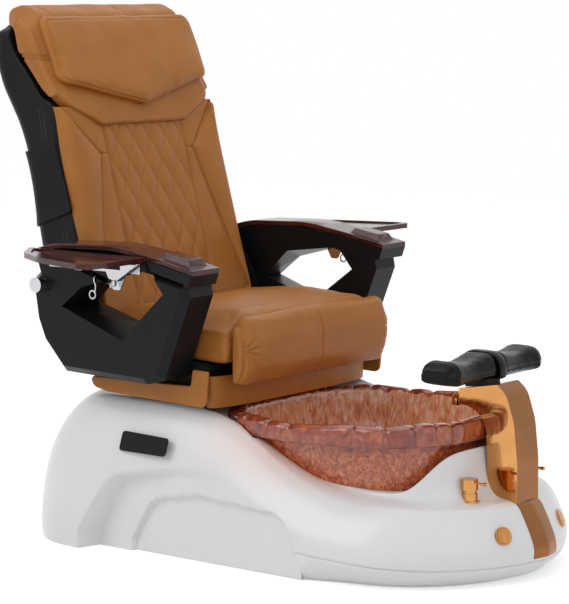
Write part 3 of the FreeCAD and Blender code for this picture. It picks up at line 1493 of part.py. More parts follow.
def make_tray_bracket():
    """Plated hinge leaves and the triangular wall plate on the armrest's outer face."""
    face = -arm_outer_y - gap
    low = tray_under_z
    parts = []
    for x in (-380.0, -150.0):
        pin = rod(Vec(x - 31.0, -tray_hinge_y, low), Vec(x + 31.0, -tray_hinge_y, low), 2.5)
        for gap_x in (x - 31.0, x + 20.0):
            ear = rod(Vec(gap_x, -tray_hinge_y, low), Vec(gap_x + 11.0, -tray_hinge_y, low), 5.0, 12)
            leaf = block(gap_x, gap_x + 11.0, -tray_hinge_y, face, low - 5.0, low - 1.0)
            plate = block(gap_x, gap_x + 11.0, face - 3.0, face, low - 30.0, low + 3.0)
            parts += [ear, leaf, plate]
        parts += [pin, block(x - 31.0, x + 31.0, face - 3.0, face, low - 30.0, low - 9.0)]
    wall = side_slab([(strut_x - 34.0, 692.0, 3.0), (strut_x - 8.0, strut_pivot_z - 14.0, 8.0),
                      (strut_x + 14.0, strut_pivot_z - 14.0, 8.0), (strut_x + 38.0, 692.0, 3.0)], face - 3.0, face)
    bar = block(-411.0, -119.0, face - 3.0, face, 686.0, 692.0)
    ears = [block(strut_x + dx, strut_x + dx + 3.0, strut_y() - 5.0, face, strut_pivot_z - 8.0, strut_pivot_z + 8.0)
            for dx in (-9.0, 12.0)]
    pin = rod(Vec(strut_x - 9.0, strut_y(), strut_pivot_z), Vec(strut_x + 15.0, strut_y(), strut_pivot_z), 2.5)
    return parts, [wall, bar] + ears + [pin]


def strut_y():
    return -strut_pivot_y


def strut_tip():
    rise = tray_under_z - 8.0 - strut_pivot_z
    return Vec(strut_x, strut_y() - math.sqrt(strut_length ** 2 - rise ** 2), strut_pivot_z + rise)


def make_strut():
    start = Vec(strut_x, strut_y(), strut_pivot_z)
    end = strut_tip()
    along = end - start
    along.normalize()
    across = Vec(0, -along.z, along.y)
    corners = [start - across * 5.0, end - across * 5.0, end + across * 5.0, start + across * 5.0]
    plate = Part.Face(Part.makePolygon([c + Vec(-4.0, 0, 0) for c in corners + corners[:1]])).extrude(Vec(14.0, 0, 0))
    channel = Part.Face(Part.makePolygon([c + Vec(-2.0, 0, 0) + across * 3.0 for c in corners + corners[:1]]))
    plate = plate.cut(channel.extrude(Vec(10.0, 0, 0)))
    eye = rod(start - Vec(4.0, 0, 0), start + Vec(10.0, 0, 0), 5.0, 12)
    roller = rod(end - Vec(7.0, 0, 0), end + Vec(13.0, 0, 0), 6.0, 12)
    strut = fused(plate, eye, roller)
    return strut.cut(rod(start - Vec(20.0, 0, 0), start + Vec(20.0, 0, 0), 2.5 + shaft_gap))


def make_release_lever():
    """Slender bent lever that hangs from the strut, with a flat pull ring at its end.

    The ring stands beside the strut's flat, so that the strut folds past it.
    """
    start = Vec(strut_x, strut_y(), strut_pivot_z)
    along = strut_tip() - start
    along.normalize()
    hub = start + along * lever_along
    x = strut_x - 9.0
    outline = [
        (hub.y + 4.0, hub.z + 4.0, 3.0),
        (hub.y - 4.0, hub.z + 4.0, 3.0),
        (hub.y - 5.0, hub.z - 10.0, 4.0),
        (hub.y + 1.0, hub.z - 22.0, 4.0),
        (hub.y - 2.0, hub.z - 39.0, 2.0),
        (hub.y + 3.0, hub.z - 41.0, 2.0),
        (hub.y + 5.5, hub.z - 21.0, 4.0),
        (hub.y + 0.0, hub.z - 9.0, 4.0),
    ]
    lever = front_slab(outline, x, x + 3.0)
    pin = rod(Vec(x, hub.y, hub.z), Vec(strut_x - 4.0 - moving_gap / 2, hub.y, hub.z), 2.5)
    ring_x = strut_x - 4.0 - moving_gap - ring_radius
    centre = Vec(ring_x, hub.y - 1.0, hub.z - 33.0 - ring_radius)
    ring = tube(centre, centre + Vec(0, 3.0, 0), ring_radius, ring_radius - 3.0, round_sides)
    return fused(lever, pin, ring)


# Write every piece

save("base_shell", base_shell)
save("lower_pan", lower_pan)
save_sides("side_panel", make_side_panel())
save("base_frame", make_base_frame())
save("levelling_feet", make_levelling_feet())
save("bowl", make_bowl())
save("bowl_cradle", make_cradle())
save("bowl_drain", make_drain())
save("drain_stopper", make_stopper())
save("drain_pump", make_pump())
save("jet_housing", make_jet_housing())
save("jet_impeller", make_jet_impeller())
save("footrest_arch", make_arch())
save("cushion_bracket", make_cushion_bracket())
save("foot_cushion", make_foot_cushion())
save("foot_strap", make_foot_strap())
save("front_strip", make_front_strip())
bezels = []
for side_name, side_sign in SIDES.items():
    save("nose_button_" + side_name, make_button(side_sign))
    bezels.append(make_bezel(side_sign))
    save("valve_handle_" + side_name, make_valve_handle(side_sign))
save("button_bezels", Part.makeCompound(bezels))
save("valve_bodies", Part.makeCompound([make_valve_body(-1), make_valve_body(1)]))
save("water_spout", make_spout())

save("seat_pedestal", make_pedestal())
save("slide_rails", make_slide_rails())
save("seat_frame", make_seat_frame())
save("seat_cushion", make_seat_cushion())
save("seat_roll", make_seat_roll())
save("front_skirt", make_skirt())
save_sides("side_valance", make_side_valance())
save("arm_pivots", make_arm_pivots())
save("recline_actuator", make_recline_actuator())

save("back_frame", make_back_frame())
save("back_shell", make_back_shell())
save("back_band", make_back_band())
save("back_cushion", make_back_cushion())
save("back_hood", make_hood())
save("head_pillow", make_pillow())
save("massage_rails", make_massage_rails())
save("massage_carriage", make_massage_carriage())
save("massage_rollers", Part.makeCompound(make_massage_rollers()))

save_sides("armrest_panel", make_armrest_panel())
save_sides("armrest_top", make_armrest_top())
save_sides("armrest_cap", make_armrest_cap())
save_sides("lock_knob", make_lock_knob())
save_sides("tray", make_tray())
hinge_parts, wall_parts = make_tray_bracket()
save_sides("tray_bracket", fused(hinge_parts[0], *hinge_parts[1:], *wall_parts))
save_sides("tray_strut", make_strut())
save_sides("release_lever", make_release_lever())
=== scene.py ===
import math

import bmesh
import bpy
import numpy as np
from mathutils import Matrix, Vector
from mathutils.bvhtree import BVHTree


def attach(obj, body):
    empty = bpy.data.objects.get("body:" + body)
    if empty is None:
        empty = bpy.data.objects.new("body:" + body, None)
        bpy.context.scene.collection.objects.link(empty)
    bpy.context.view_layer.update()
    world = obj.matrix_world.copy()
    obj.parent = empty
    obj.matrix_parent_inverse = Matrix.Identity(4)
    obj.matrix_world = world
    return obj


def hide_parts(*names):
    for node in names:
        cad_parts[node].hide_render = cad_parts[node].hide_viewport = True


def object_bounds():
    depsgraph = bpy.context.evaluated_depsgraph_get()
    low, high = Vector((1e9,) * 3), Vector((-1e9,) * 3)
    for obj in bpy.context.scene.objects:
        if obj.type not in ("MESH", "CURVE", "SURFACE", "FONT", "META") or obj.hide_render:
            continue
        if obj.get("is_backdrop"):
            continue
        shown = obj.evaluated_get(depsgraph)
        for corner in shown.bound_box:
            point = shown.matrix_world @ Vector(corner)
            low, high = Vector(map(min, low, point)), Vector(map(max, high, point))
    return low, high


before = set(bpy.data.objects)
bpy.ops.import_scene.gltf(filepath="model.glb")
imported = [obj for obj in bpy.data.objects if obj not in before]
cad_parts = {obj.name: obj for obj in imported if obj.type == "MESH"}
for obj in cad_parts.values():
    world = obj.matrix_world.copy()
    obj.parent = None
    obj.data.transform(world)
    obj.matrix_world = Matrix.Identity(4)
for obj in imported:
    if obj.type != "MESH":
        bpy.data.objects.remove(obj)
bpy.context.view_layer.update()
MM = 0.001


# Shapes. Lengths are in millimetres until a mesh is made.

def ease(value, start, end):
    """0 at start, 1 at end, u*u*(3 - 2u) between."""
    u = np.clip((np.asarray(value, float) - start) / (end - start), 0.0, 1.0)
    return u * u * (3 - 2 * u)


def ridge(distance, width):
    """Bell exp(-(d/width)^2): 1 on a line, fading away from it."""
    return np.exp(-(np.asarray(distance, float) / width) ** 2)


def rounded_line(corners, steps=8, closed=True):
    """Corners (a, b, radius) as a polyline: each corner becomes an arc of its radius in steps chords."""
    points = []
    count = len(corners)
    for i, (a, b, radius) in enumerate(corners):
        here = np.array([a, b], float)
        before = np.array(corners[i - 1][:2], float) - here
        after = np.array(corners[(i + 1) % count][:2], float) - here
        ends = not closed and i in (0, count - 1)
        before, after = before / np.linalg.norm(before), after / np.linalg.norm(after)
        half = math.acos(np.clip(before @ after, -1, 1)) / 2
        if ends or radius == 0 or abs(half - math.pi / 2) < 1e-3:
            points.append(here)
            continue
        reach = radius / math.tan(half)
        middle = (before + after) / np.linalg.norm(before + after)
        centre = here + middle * radius / math.sin(half)
        first, last = here + before * reach - centre, here + after * reach - centre
        sweep = math.acos(np.clip(first @ last / radius ** 2, -1, 1))
        for k in range(steps + 1):
            u = k / steps
            arm = (first * math.sin((1 - u) * sweep) + last * math.sin(u * sweep)) / math.sin(sweep)
            points.append(centre + arm)
    return np.array(points)


def resampled(line, count, closed=True):
    """The same line with count points at even steps of its length."""
    line = np.asarray(line, float)
    if closed:
        line = np.vstack([line, line[:1]])
    length = np.concatenate([[0], np.cumsum(np.linalg.norm(np.diff(line, axis=0), axis=1))])
    at = np.linspace(0, length[-1], count, endpoint=not closed)
    return np.stack([np.interp(at, length, line[:, k]) for k in range(line.shape[1])], axis=1)


def flowing(points, count):
    """Catmull-Rom curve through the points, count points in all."""
    p = np.asarray(points, float)
    p = np.vstack([2 * p[0] - p[1], p, 2 * p[-1] - p[-2]])
    t = np.linspace(0, len(p) - 3 - 1e-9, count)
    i = t.astype(int)
    u = (t - i)[:, None]
    a, b, c, d = p[i], p[i + 1], p[i + 2], p[i + 3]
    squares, cubes = (2 * a - 5 * b + 4 * c - d) * u ** 2, (3 * b - 3 * c + d - a) * u ** 3
    return 0.5 * (2 * b + (c - a) * u + squares + cubes)


def distance_inside(x, z, outline):
    """Distance of points (x, z) to a closed outline, positive inside it."""
    a = outline
    b = np.roll(outline, -1, axis=0)
    p = np.stack([np.ravel(x), np.ravel(z)], axis=1)
    best = np.full(len(p), np.inf)
    inside = np.zeros(len(p), bool)
    for (ax, az), (bx, bz) in zip(a, b):
        dx, dz = bx - ax, bz - az
        u = np.clip(((p[:, 0] - ax) * dx + (p[:, 1] - az) * dz) / max(dx * dx + dz * dz, 1e-9), 0, 1)
        best = np.minimum(best, np.hypot(p[:, 0] - ax - u * dx, p[:, 1] - az - u * dz))
        if az != bz:
            crosses = (az > p[:, 1]) != (bz > p[:, 1])
            inside ^= crosses & (p[:, 0] < (bx - ax) * (p[:, 1] - az) / (bz - az) + ax)
    return np.where(inside, best, -best).reshape(np.shape(x))


def soft_noise(points, cell, seed=1):
    """Smooth noise of about -1 to 1 over 3D points: a sum of sine waves of about that cell size."""
    rng = np.random.default_rng(seed)
    total = np.zeros(points.shape[:-1])
    for _ in range(9):
        wave = rng.normal(size=3)
        wave *= 2 * math.pi / cell / np.linalg.norm(wave) * rng.uniform(0.6, 1.3)
        total += np.sin(points @ wave + rng.uniform(0, 6.28))
    return total / 3.4


# Meshes

def shade_smooth(mesh):
    """Smooth shading on every face."""
    mesh.polygons.foreach_set("use_smooth", np.full(len(mesh.polygons), True))


def as_object(name, vertices, faces):
    """A smooth-shaded mesh object from points in millimetres."""
    mesh = bpy.data.meshes.new(name)
    mesh.from_pydata((np.asarray(vertices).reshape(-1, 3) * MM).tolist(), [], faces)
    mesh.validate()
    shade_smooth(mesh)
    obj = bpy.data.objects.new(name, mesh)
    bpy.context.scene.collection.objects.link(obj)
    return obj


def grid_quads(rows, cols, wrap):
    """Quads between neighbouring points of a grid; with wrap the last column meets the first."""
    index = np.arange(rows * cols).reshape(rows, cols)
    if wrap:
        index = np.hstack([index, index[:, :1]])
    quads = np.stack([index[:-1, :-1], index[:-1, 1:], index[1:, 1:], index[1:, :-1]], axis=-1)
    return quads.reshape(-1, 4).tolist()


def outward(obj, join=0.02):
    """Merge doubles and point every face of a closed mesh outwards."""
    work = bmesh.new()
    work.from_mesh(obj.data)
    bmesh.ops.remove_doubles(work, verts=work.verts, dist=join * MM)
    bmesh.ops.recalc_face_normals(work, faces=work.faces)
    work.to_mesh(obj.data)
    work.free()
    return obj


def surface(name, points, wrap=False, capped=False):
    """A grid of points as a mesh. With capped, one flat face closes the first row and one the last."""
    rows, cols = points.shape[:2]
    faces = grid_quads(rows, cols, wrap)
    if capped:
        last = (rows - 1) * cols
        faces.append(list(range(cols))[::-1])
        faces.append(list(range(last, last + cols)))
    obj = outward(as_object(name, points, faces))
    for face in obj.data.polygons:
        if face.loop_total > 4:
            face.use_smooth = False
    return obj


def slab(name, outline, place, low, high, bevel):
    """A flat outline made a plate from low to high, its edges bevelled; place(a, b, h) gives a point."""
    count = len(outline)
    points = [place(a, b, h) for h in (low, high) for a, b in outline]
    faces = [list(range(count))[::-1], list(range(count, 2 * count))]
    faces += [[k, (k + 1) % count, count + (k + 1) % count, count + k] for k in range(count)]
    obj = outward(as_object(name, np.array(points), faces))
    soften(obj, bevel)
    return obj


def soften(obj, width, segments=3, merge=False):
    """Bevel every edge over 28 degrees. With merge, a CAD piece's loose triangles are merged first."""
    if merge:
        weld = obj.modifiers.new("merge", "WELD")
        weld.merge_threshold = 0.01 * MM
    bevel = obj.modifiers.new("edges", "BEVEL")
    bevel.width = width * MM
    bevel.segments = segments
    bevel.limit_method = "ANGLE"
    bevel.angle_limit = math.radians(28)
    bevel.use_clamp_overlap = True
    bevel.harden_normals = True


def apply_modifiers(obj):
    """Replace a piece's mesh by what its modifiers make of it."""
    graph = bpy.context.evaluated_depsgraph_get()
    mesh = bpy.data.meshes.new_from_object(obj.evaluated_get(graph))
    obj.modifiers.clear()
    obj.data = mesh
    shade_smooth(mesh)


def coordinates(obj):
    """A mesh's points in millimetres."""
    co = np.zeros(len(obj.data.vertices) * 3)
    obj.data.vertices.foreach_get("co", co)
    return co.reshape(-1, 3) / MM


def set_coordinates(obj, points):
    """Move a mesh's points to these, in millimetres."""
    obj.data.vertices.foreach_set("co", (points * MM).ravel())
    obj.data.update()


def normals(obj):
    """A mesh's unit normals, one for each point."""
    n = np.zeros(len(obj.data.vertices) * 3)
    obj.data.vertices.foreach_get("normal", n)
    return n.reshape(-1, 3)


def dented(obj, depth):
    """Move each point along its normal by depth(points, normals), in millimetres."""
    points, n = coordinates(obj), normals(obj)
    set_coordinates(obj, points + n * depth(points, n)[:, None])


def stuffed(obj, voxel, pressure, cap):
    """Remesh, then let cloth under inner pressure swell for 20 frames; no point moves further than cap."""
    remesh = obj.modifiers.new("even", "REMESH")
    remesh.mode = "VOXEL"
    remesh.voxel_size = voxel * MM
    apply_modifiers(obj)
    rest = coordinates(obj)
    cloth = obj.modifiers.new("stuffing", "CLOTH")
    cloth.settings.use_pressure = True
    cloth.settings.uniform_pressure_force = pressure
    cloth.settings.quality = 5
    cloth.settings.tension_stiffness = 40
    cloth.settings.compression_stiffness = 40
    cloth.settings.bending_stiffness = 6
    cloth.settings.effector_weights.gravity = 0
    cloth.collision_settings.use_collision = False
    for number in range(1, 21):
        bpy.context.scene.frame_set(number)
    apply_modifiers(obj)
    move = coordinates(obj) - rest
    length = np.linalg.norm(move, axis=1)[:, None]
    set_coordinates(obj, rest + move * np.minimum(1.0, cap / np.maximum(length, 1e-6)))
    bpy.context.scene.frame_set(1)
    finer = obj.modifiers.new("finer", "SUBSURF")
    finer.levels = finer.render_levels = 1
    apply_modifiers(obj)


def capsule_faces():
    """Faces of one stitch: four rounds of six points, joined by quads and closed at both ends."""
    sides = [[6 * ring + k, 6 * ring + (k + 1) % 6, 6 * ring + 6 + (k + 1) % 6, 6 * ring + 6 + k]
             for ring in range(3) for k in range(6)]
    return sides + [list(range(6))[::-1], list(range(18, 24))]


def thread(name, body, target, paths, towards, material):
    """Stitches 3.6 mm long, one every 5.5 mm of each path: six-sided capsules that lie on the target.

    Each path point is dropped on the target along the direction towards, from 150 mm before it."""
    pitch, length, radius = 5.5, 3.6, 0.55
    before, search = 0.15, 0.3
    tree = BVHTree.FromObject(target, bpy.context.evaluated_depsgraph_get())
    way = Vector(towards).normalized()
    turns = np.linspace(0, 2 * math.pi, 6, endpoint=False)[:, None]
    stitch = capsule_faces()
    vertices, faces = [], []
    for path in paths:
        total = np.linalg.norm(np.diff(path, axis=0), axis=1).sum()
        landed = []
        for point in resampled(path, max(int(total / pitch) * 2, 4), closed=False):
            hit, normal, _, _ = tree.ray_cast(Vector(point) * MM - way * before, way, search)
            landed.append(None if hit is None else (np.array(hit) / MM, np.array(normal)))
        for first, second in zip(landed[::2], landed[1::2]):
            if first is None or second is None:
                continue
            along = second[0] - first[0]
            span = np.linalg.norm(along)
            if not 0.5 <= span <= pitch * 2:
                continue
            along /= span
            up = first[1] - along * (first[1] @ along)
            up /= np.linalg.norm(up)
            aside = np.cross(along, up)
            centre = (first[0] + second[0]) / 2 + up * radius * 0.3
            base = 6 * len(vertices)
            faces += [[base + k for k in face] for face in stitch]
            for shift, scale in ((-0.5, 0.5), (-0.3, 1.0), (0.3, 1.0), (0.5, 0.5)):
                vertices.append(centre + along * length * shift
                                + (aside * np.cos(turns) + up * np.sin(turns)) * radius * scale)
    obj = outward(as_object(name, np.array(vertices), faces), 0.0001)
    dress(obj, material)
    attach(obj, body)


# Materials

def linear(colour):
    """sRGB hex, such as #B5763A, as linear red, green, blue and a full alpha."""
    parts = [int(colour[k:k + 2], 16) / 255 for k in (1, 3, 5)]
    return tuple(c / 12.92 if c <= 0.04045 else ((c + 0.055) / 1.055) ** 2.4 for c in parts) + (1.0,)


MIX_A, MIX_B = 6, 7  # A and B of a Mix node set to colours


def add(tree, kind, sockets=None, **settings):
    """Add a node, set its settings, and set or link its input sockets."""
    node = tree.nodes.new(kind)
    for key, value in settings.items():
        setattr(node, key, value)
    for key, value in (sockets or {}).items():
        if isinstance(value, bpy.types.NodeSocket):
            tree.links.new(value, node.inputs[key])
        else:
            node.inputs[key].default_value = value
    return node


def new_material(name):
    """An empty material, its node tree and the Object coordinates in it."""
    material = bpy.data.materials.new(name)
    material.use_nodes = True
    tree = material.node_tree
    tree.nodes.clear()
    place = add(tree, "ShaderNodeTexCoord").outputs["Object"]
    return material, tree, place


def finished(tree, shader, height, strength, depth):
    """Link a shader to the output, with a bump of that depth in millimetres."""
    bump = add(tree, "ShaderNodeBump", {"Height": height, "Strength": strength, "Distance": depth * MM})
    tree.links.new(bump.outputs["Normal"], shader.inputs["Normal"])
    add(tree, "ShaderNodeOutputMaterial", {"Surface": shader.outputs["BSDF"]})


def dress(obj, material):
    """Give a piece its material in every slot."""
    if not obj.material_slots:
        obj.data.materials.append(material)
    for slot in obj.material_slots:
        slot.link = "OBJECT"
        slot.material = material


def settle(piece, body, slot, *stands_for):
    """Name the body that a new piece rides on and the CAD nodes that it replaces; slot is not used."""
    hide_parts(*stands_for)
    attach(piece, body)


def per_mm(size):
    """Texture scale whose pattern repeats about every size millimetres."""
    return 1.0 / (size * MM)


def coated_leather(name, dark, light, rough, grain_mm, shine):
    """PU-coated leather: soft mottling of two near tones and a pebbled grain, satin where it is stretched.

    The real grain is about 1 mm; it is drawn coarser so that it shows from two metres."""
    material, tree, place = new_material(name)
    mottle = add(tree, "ShaderNodeTexNoise", {"Vector": place, "Scale": per_mm(90), "Detail": 4.0})
    tone = add(tree, "ShaderNodeMix",
               {"Factor": mottle.outputs["Fac"], MIX_A: linear(dark), MIX_B: linear(light)}, data_type="RGBA")
    grain = add(tree, "ShaderNodeTexVoronoi", {"Vector": place, "Scale": per_mm(grain_mm)})
    crease = add(tree, "ShaderNodeTexNoise", {"Vector": place, "Scale": per_mm(24), "Detail": 5.0})
    height = add(tree, "ShaderNodeMath", {0: grain.outputs["Distance"], 1: crease.outputs["Fac"]},
                 operation="ADD")
    gloss = add(tree, "ShaderNodeMapRange",
                {"Value": crease.outputs["Fac"], "To Min": rough - 0.07, "To Max": rough + 0.09})
    shader = add(tree, "ShaderNodeBsdfPrincipled",
                 {"Base Color": tone.outputs[2], "Roughness": gloss.outputs[0], "Specular IOR Level": shine})
    finished(tree, shader, height.outputs[0], 0.22, 0.8)
    return material


def plated(name, colour, tint, rough):
    """Polished plating: a metal with faint polishing waves and slightly uneven gloss."""
    material, tree, place = new_material(name)
    wave = add(tree, "ShaderNodeTexNoise", {"Vector": place, "Scale": per_mm(60), "Detail": 2.0})
    haze = add(tree, "ShaderNodeTexNoise", {"Vector": place, "Scale": per_mm(12), "Detail": 6.0})
    tone = add(tree, "ShaderNodeMix",
               {"Factor": wave.outputs["Fac"], MIX_A: linear(colour), MIX_B: linear(tint)}, data_type="RGBA")
    gloss = add(tree, "ShaderNodeMapRange",
                {"Value": haze.outputs["Fac"], "To Min": rough, "To Max": rough + 0.06})
    shader = add(tree, "ShaderNodeBsdfPrincipled",
                 {"Base Color": tone.outputs[2], "Metallic": 1.0, "Roughness": gloss.outputs[0]})
    finished(tree, shader, wave.outputs["Fac"], 0.08, 0.6)
    return material


def fine_grained(name, colour, tint, rough, grain_mm):
    """Moulded plastic or rubber, powder coat and thread: fine even grain, a little uneven in gloss."""
    material, tree, place = new_material(name)
    grain = add(tree, "ShaderNodeTexNoise", {"Vector": place, "Scale": per_mm(grain_mm), "Detail": 3.0})
    cloud = add(tree, "ShaderNodeTexNoise", {"Vector": place, "Scale": per_mm(120), "Detail": 3.0})
    tone = add(tree, "ShaderNodeMix",
               {"Factor": cloud.outputs["Fac"], MIX_A: linear(colour), MIX_B: linear(tint)}, data_type="RGBA")
    gloss = add(tree, "ShaderNodeMapRange",
                {"Value": cloud.outputs["Fac"], "To Min": rough - 0.05, "To Max": rough + 0.06})
    shader = add(tree, "ShaderNodeBsdfPrincipled",
                 {"Base Color": tone.outputs[2], "Roughness": gloss.outputs[0], "Specular IOR Level": 0.16})
    finished(tree, shader, grain.outputs["Fac"], 0.10, 0.25)
    return material


def gel_coat():
    """White gel-coated glass fibre, polished: faint orange peel, and a painted reflection of the resin bowl's
    warm light near it.
    """
    material, tree, place = new_material("gel_coat_white")
    peel = add(tree, "ShaderNodeTexNoise", {"Vector": place, "Scale": per_mm(14), "Detail": 2.0})
    cloud = add(tree, "ShaderNodeTexNoise", {"Vector": place, "Scale": per_mm(160), "Detail": 2.0})
    white = add(tree, "ShaderNodeMix",
                {"Factor": cloud.outputs["Fac"], MIX_A: linear("#EBEBED"), MIX_B: linear("#E4E4E6")},
                data_type="RGBA")
    # Painted reflection: a pink tint, fading with distance from the bowl, stands in for its warm light on the
    # white.
    shifted = add(tree, "ShaderNodeMapping", {"Vector": place, "Location": (-0.16, 0.0, -0.27)})
    squeezed = add(tree, "ShaderNodeVectorMath", {0: shifted.outputs[0], 1: (1.0, 1.05, 2.6)},
                   operation="MULTIPLY")
    away = add(tree, "ShaderNodeVectorMath", {0: squeezed.outputs[0]}, operation="LENGTH")
    painted_bowl_reflection = add(tree, "ShaderNodeMapRange",
               {"Value": away.outputs["Value"], "From Min": 0.46, "From Max": 0.25,
                "To Min": 0.0, "To Max": 0.75}, interpolation_type="SMOOTHSTEP")
    tone = add(tree, "ShaderNodeMix",
               {"Factor": painted_bowl_reflection.outputs[0], MIX_A: white.outputs[2], MIX_B: linear("#E9B9A4")},
               data_type="RGBA")
    shader = add(tree, "ShaderNodeBsdfPrincipled",
                 {"Base Color": tone.outputs[2], "Roughness": 0.3,
                  "Coat Weight": 0.22, "Coat Roughness": 0.12})
    finished(tree, shader, peel.outputs["Fac"], 0.05, 0.5)
    return material


def set_stops(ramp, *stops):
    """Place and colour of a ramp's first stops."""
    for element, (place, colour) in zip(ramp.color_ramp.elements, stops):
        element.position = place
        element.color = linear(colour)


def cast_resin(name, dark, middle, light, clear, vein_mm, stretch, relief):
    """Amber polyester resin, cast against a hammered mould: dark veins up the wall and a rippled face."""
    material, tree, place = new_material(name)
    stretched = add(tree, "ShaderNodeMapping", {"Vector": place, "Scale": (1.0, 1.0, stretch)})
    chips = add(tree, "ShaderNodeTexVoronoi",
                {"Vector": stretched.outputs[0], "Scale": per_mm(12), "Randomness": 1.0}, feature="SMOOTH_F1")
    veins = add(tree, "ShaderNodeTexNoise",
                {"Vector": stretched.outputs[0], "Scale": per_mm(vein_mm), "Detail": 6.0, "Distortion": 1.2})
    ramp = add(tree, "ShaderNodeValToRGB", {"Fac": veins.outputs["Fac"]})
    set_stops(ramp, (0.34, dark), (0.68, light))
    ramp.color_ramp.elements.new(0.5).color = linear(middle)
    height = add(tree, "ShaderNodeMath", {0: chips.outputs["Distance"], 1: veins.outputs["Fac"]},
                 operation="ADD")
    shader = add(tree, "ShaderNodeBsdfPrincipled",
                 {"Base Color": ramp.outputs["Color"], "Roughness": 0.1, "IOR": 1.5,
                  "Transmission Weight": clear, "Coat Weight": 0.6, "Coat Roughness": 0.03})
    finished(tree, shader, height.outputs[0], relief, 2.2)
    return material


def lacquered_wood():
    """Dark burgundy wood-effect film under clear lacquer: fine grain lines along the armrest."""
    material, tree, place = new_material("burgundy_wood_lacquer")
    grain_space = add(tree, "ShaderNodeMapping", {"Vector": place, "Scale": (0.09, 1.0, 1.0)})
    grain = add(tree, "ShaderNodeTexNoise",
                {"Vector": grain_space.outputs[0], "Scale": per_mm(5), "Detail": 7.0, "Distortion": 0.6})
    ramp = add(tree, "ShaderNodeValToRGB", {"Fac": grain.outputs["Fac"]})
    set_stops(ramp, (0.35, "#22090A"), (0.68, "#5A2420"))
    shader = add(tree, "ShaderNodeBsdfPrincipled",
                 {"Base Color": ramp.outputs["Color"], "Roughness": 0.22, "Specular IOR Level": 0.2,
                  "Coat Weight": 0.4, "Coat Roughness": 0.03})
    finished(tree, shader, grain.outputs["Fac"], 0.03, 0.3)
    return material


camel = coated_leather("camel_coated_leather", "#9E6126", "#B37535", 0.40, 2.6, 0.26)
black_hide = coated_leather("black_coated_leather", "#0E0E10", "#141517", 0.36, 2.8, 0.14)
gloss_hide = coated_leather("gloss_black_leather", "#050506", "#0A0A0B", 0.25, 2.8, 0.16)
rose_gold = plated("rose_gold_plating", "#D29C62", "#B97F49", 0.04)
# A darker copy of the rose gold: painted shade for the faces turned to the front.
rose_gold_painted_shade = plated("rose_gold_painted_shade_plating", "#99663C", "#815838", 0.09)
chrome = plated("chrome_plating", "#D8D9DB", "#C9CACD", 0.05)
satin_black = fine_grained("satin_black_abs", "#0F1012", "#16171A", 0.32, 2.4)
grey_steel = fine_grained("grey_painted_steel", "#4A4C50", "#3E4044", 0.45, 3.0)
black_steel = fine_grained("black_powder_coat", "#121316", "#191A1D", 0.5, 1.8)
roller_rubber = fine_grained("black_moulded_rubber", "#161616", "#1F1F1F", 0.7, 2.0)
thread_tan = fine_grained("tan_polyester_thread", "#D8A873", "#C99560", 0.6, 1.5)
thread_grey = fine_grained("grey_polyester_thread", "#5B5D61", "#6A6C70", 0.6, 1.5)
white_coat = gel_coat()
# The inside copy is lighter: painted light, for light falling from above and through the wall on to the inner
# face.
resin_painted_lit_inside = cast_resin("amber_resin_inside_painted_light", "#C97A50", "#F2AE84", "#FFDCC4", 0.2, 11, 0.3, 0.3)
outer_resin = cast_resin("amber_resin_outside", "#8A3917", "#BE5A2C", "#E48C58", 0.18, 8, 0.7, 0.36)
# The rim copy is darker: painted shade, where the thick rim passes less light.
resin_painted_shade_rim = cast_resin("amber_resin_rim_painted_shade", "#7C3020", "#9E442C", "#C46743", 0.1, 34, 0.8, 0.12)
wood = lacquered_wood()


# Base: a smooth skin over the same net of ribs that its solid is made from

FRONT_X, TAIL_X = 400.0, -330.0
NOSE_X, REAR_X = 759.0, -606.0
DECK, HUMP, LEDGE, COLLAR, BESIDE = 182.0, 366.0, 352.0, 314.0, 208.0
PANEL_Y, RELIEF_Y = 360.0, 377.0
BOWL_X, BOWL_LONG, BOWL_WIDE = 264.0, 330.0, 310.0  # the bowl's middle and the half sizes of its rim
BANDS = 15  # bands of the net from the floor to the middle; the last two lie over the bowl


def shoulder_height(x):
    """Height of the shoulder: the deck in front, eased up to the hump behind."""
    return DECK + (HUMP - DECK) * ease(-x, -FRONT_X, 60.0)


def lip_height(x):
    """Height of the lip round the well: low beside the bowl, up to the collar and on to the ledge behind."""
    climb = (COLLAR - BESIDE) * ease(-x, -390.0, -120.0) ** 1.6
    return BESIDE + climb + (LEDGE - COLLAR) * ease(-x, -100.0, 90.0)


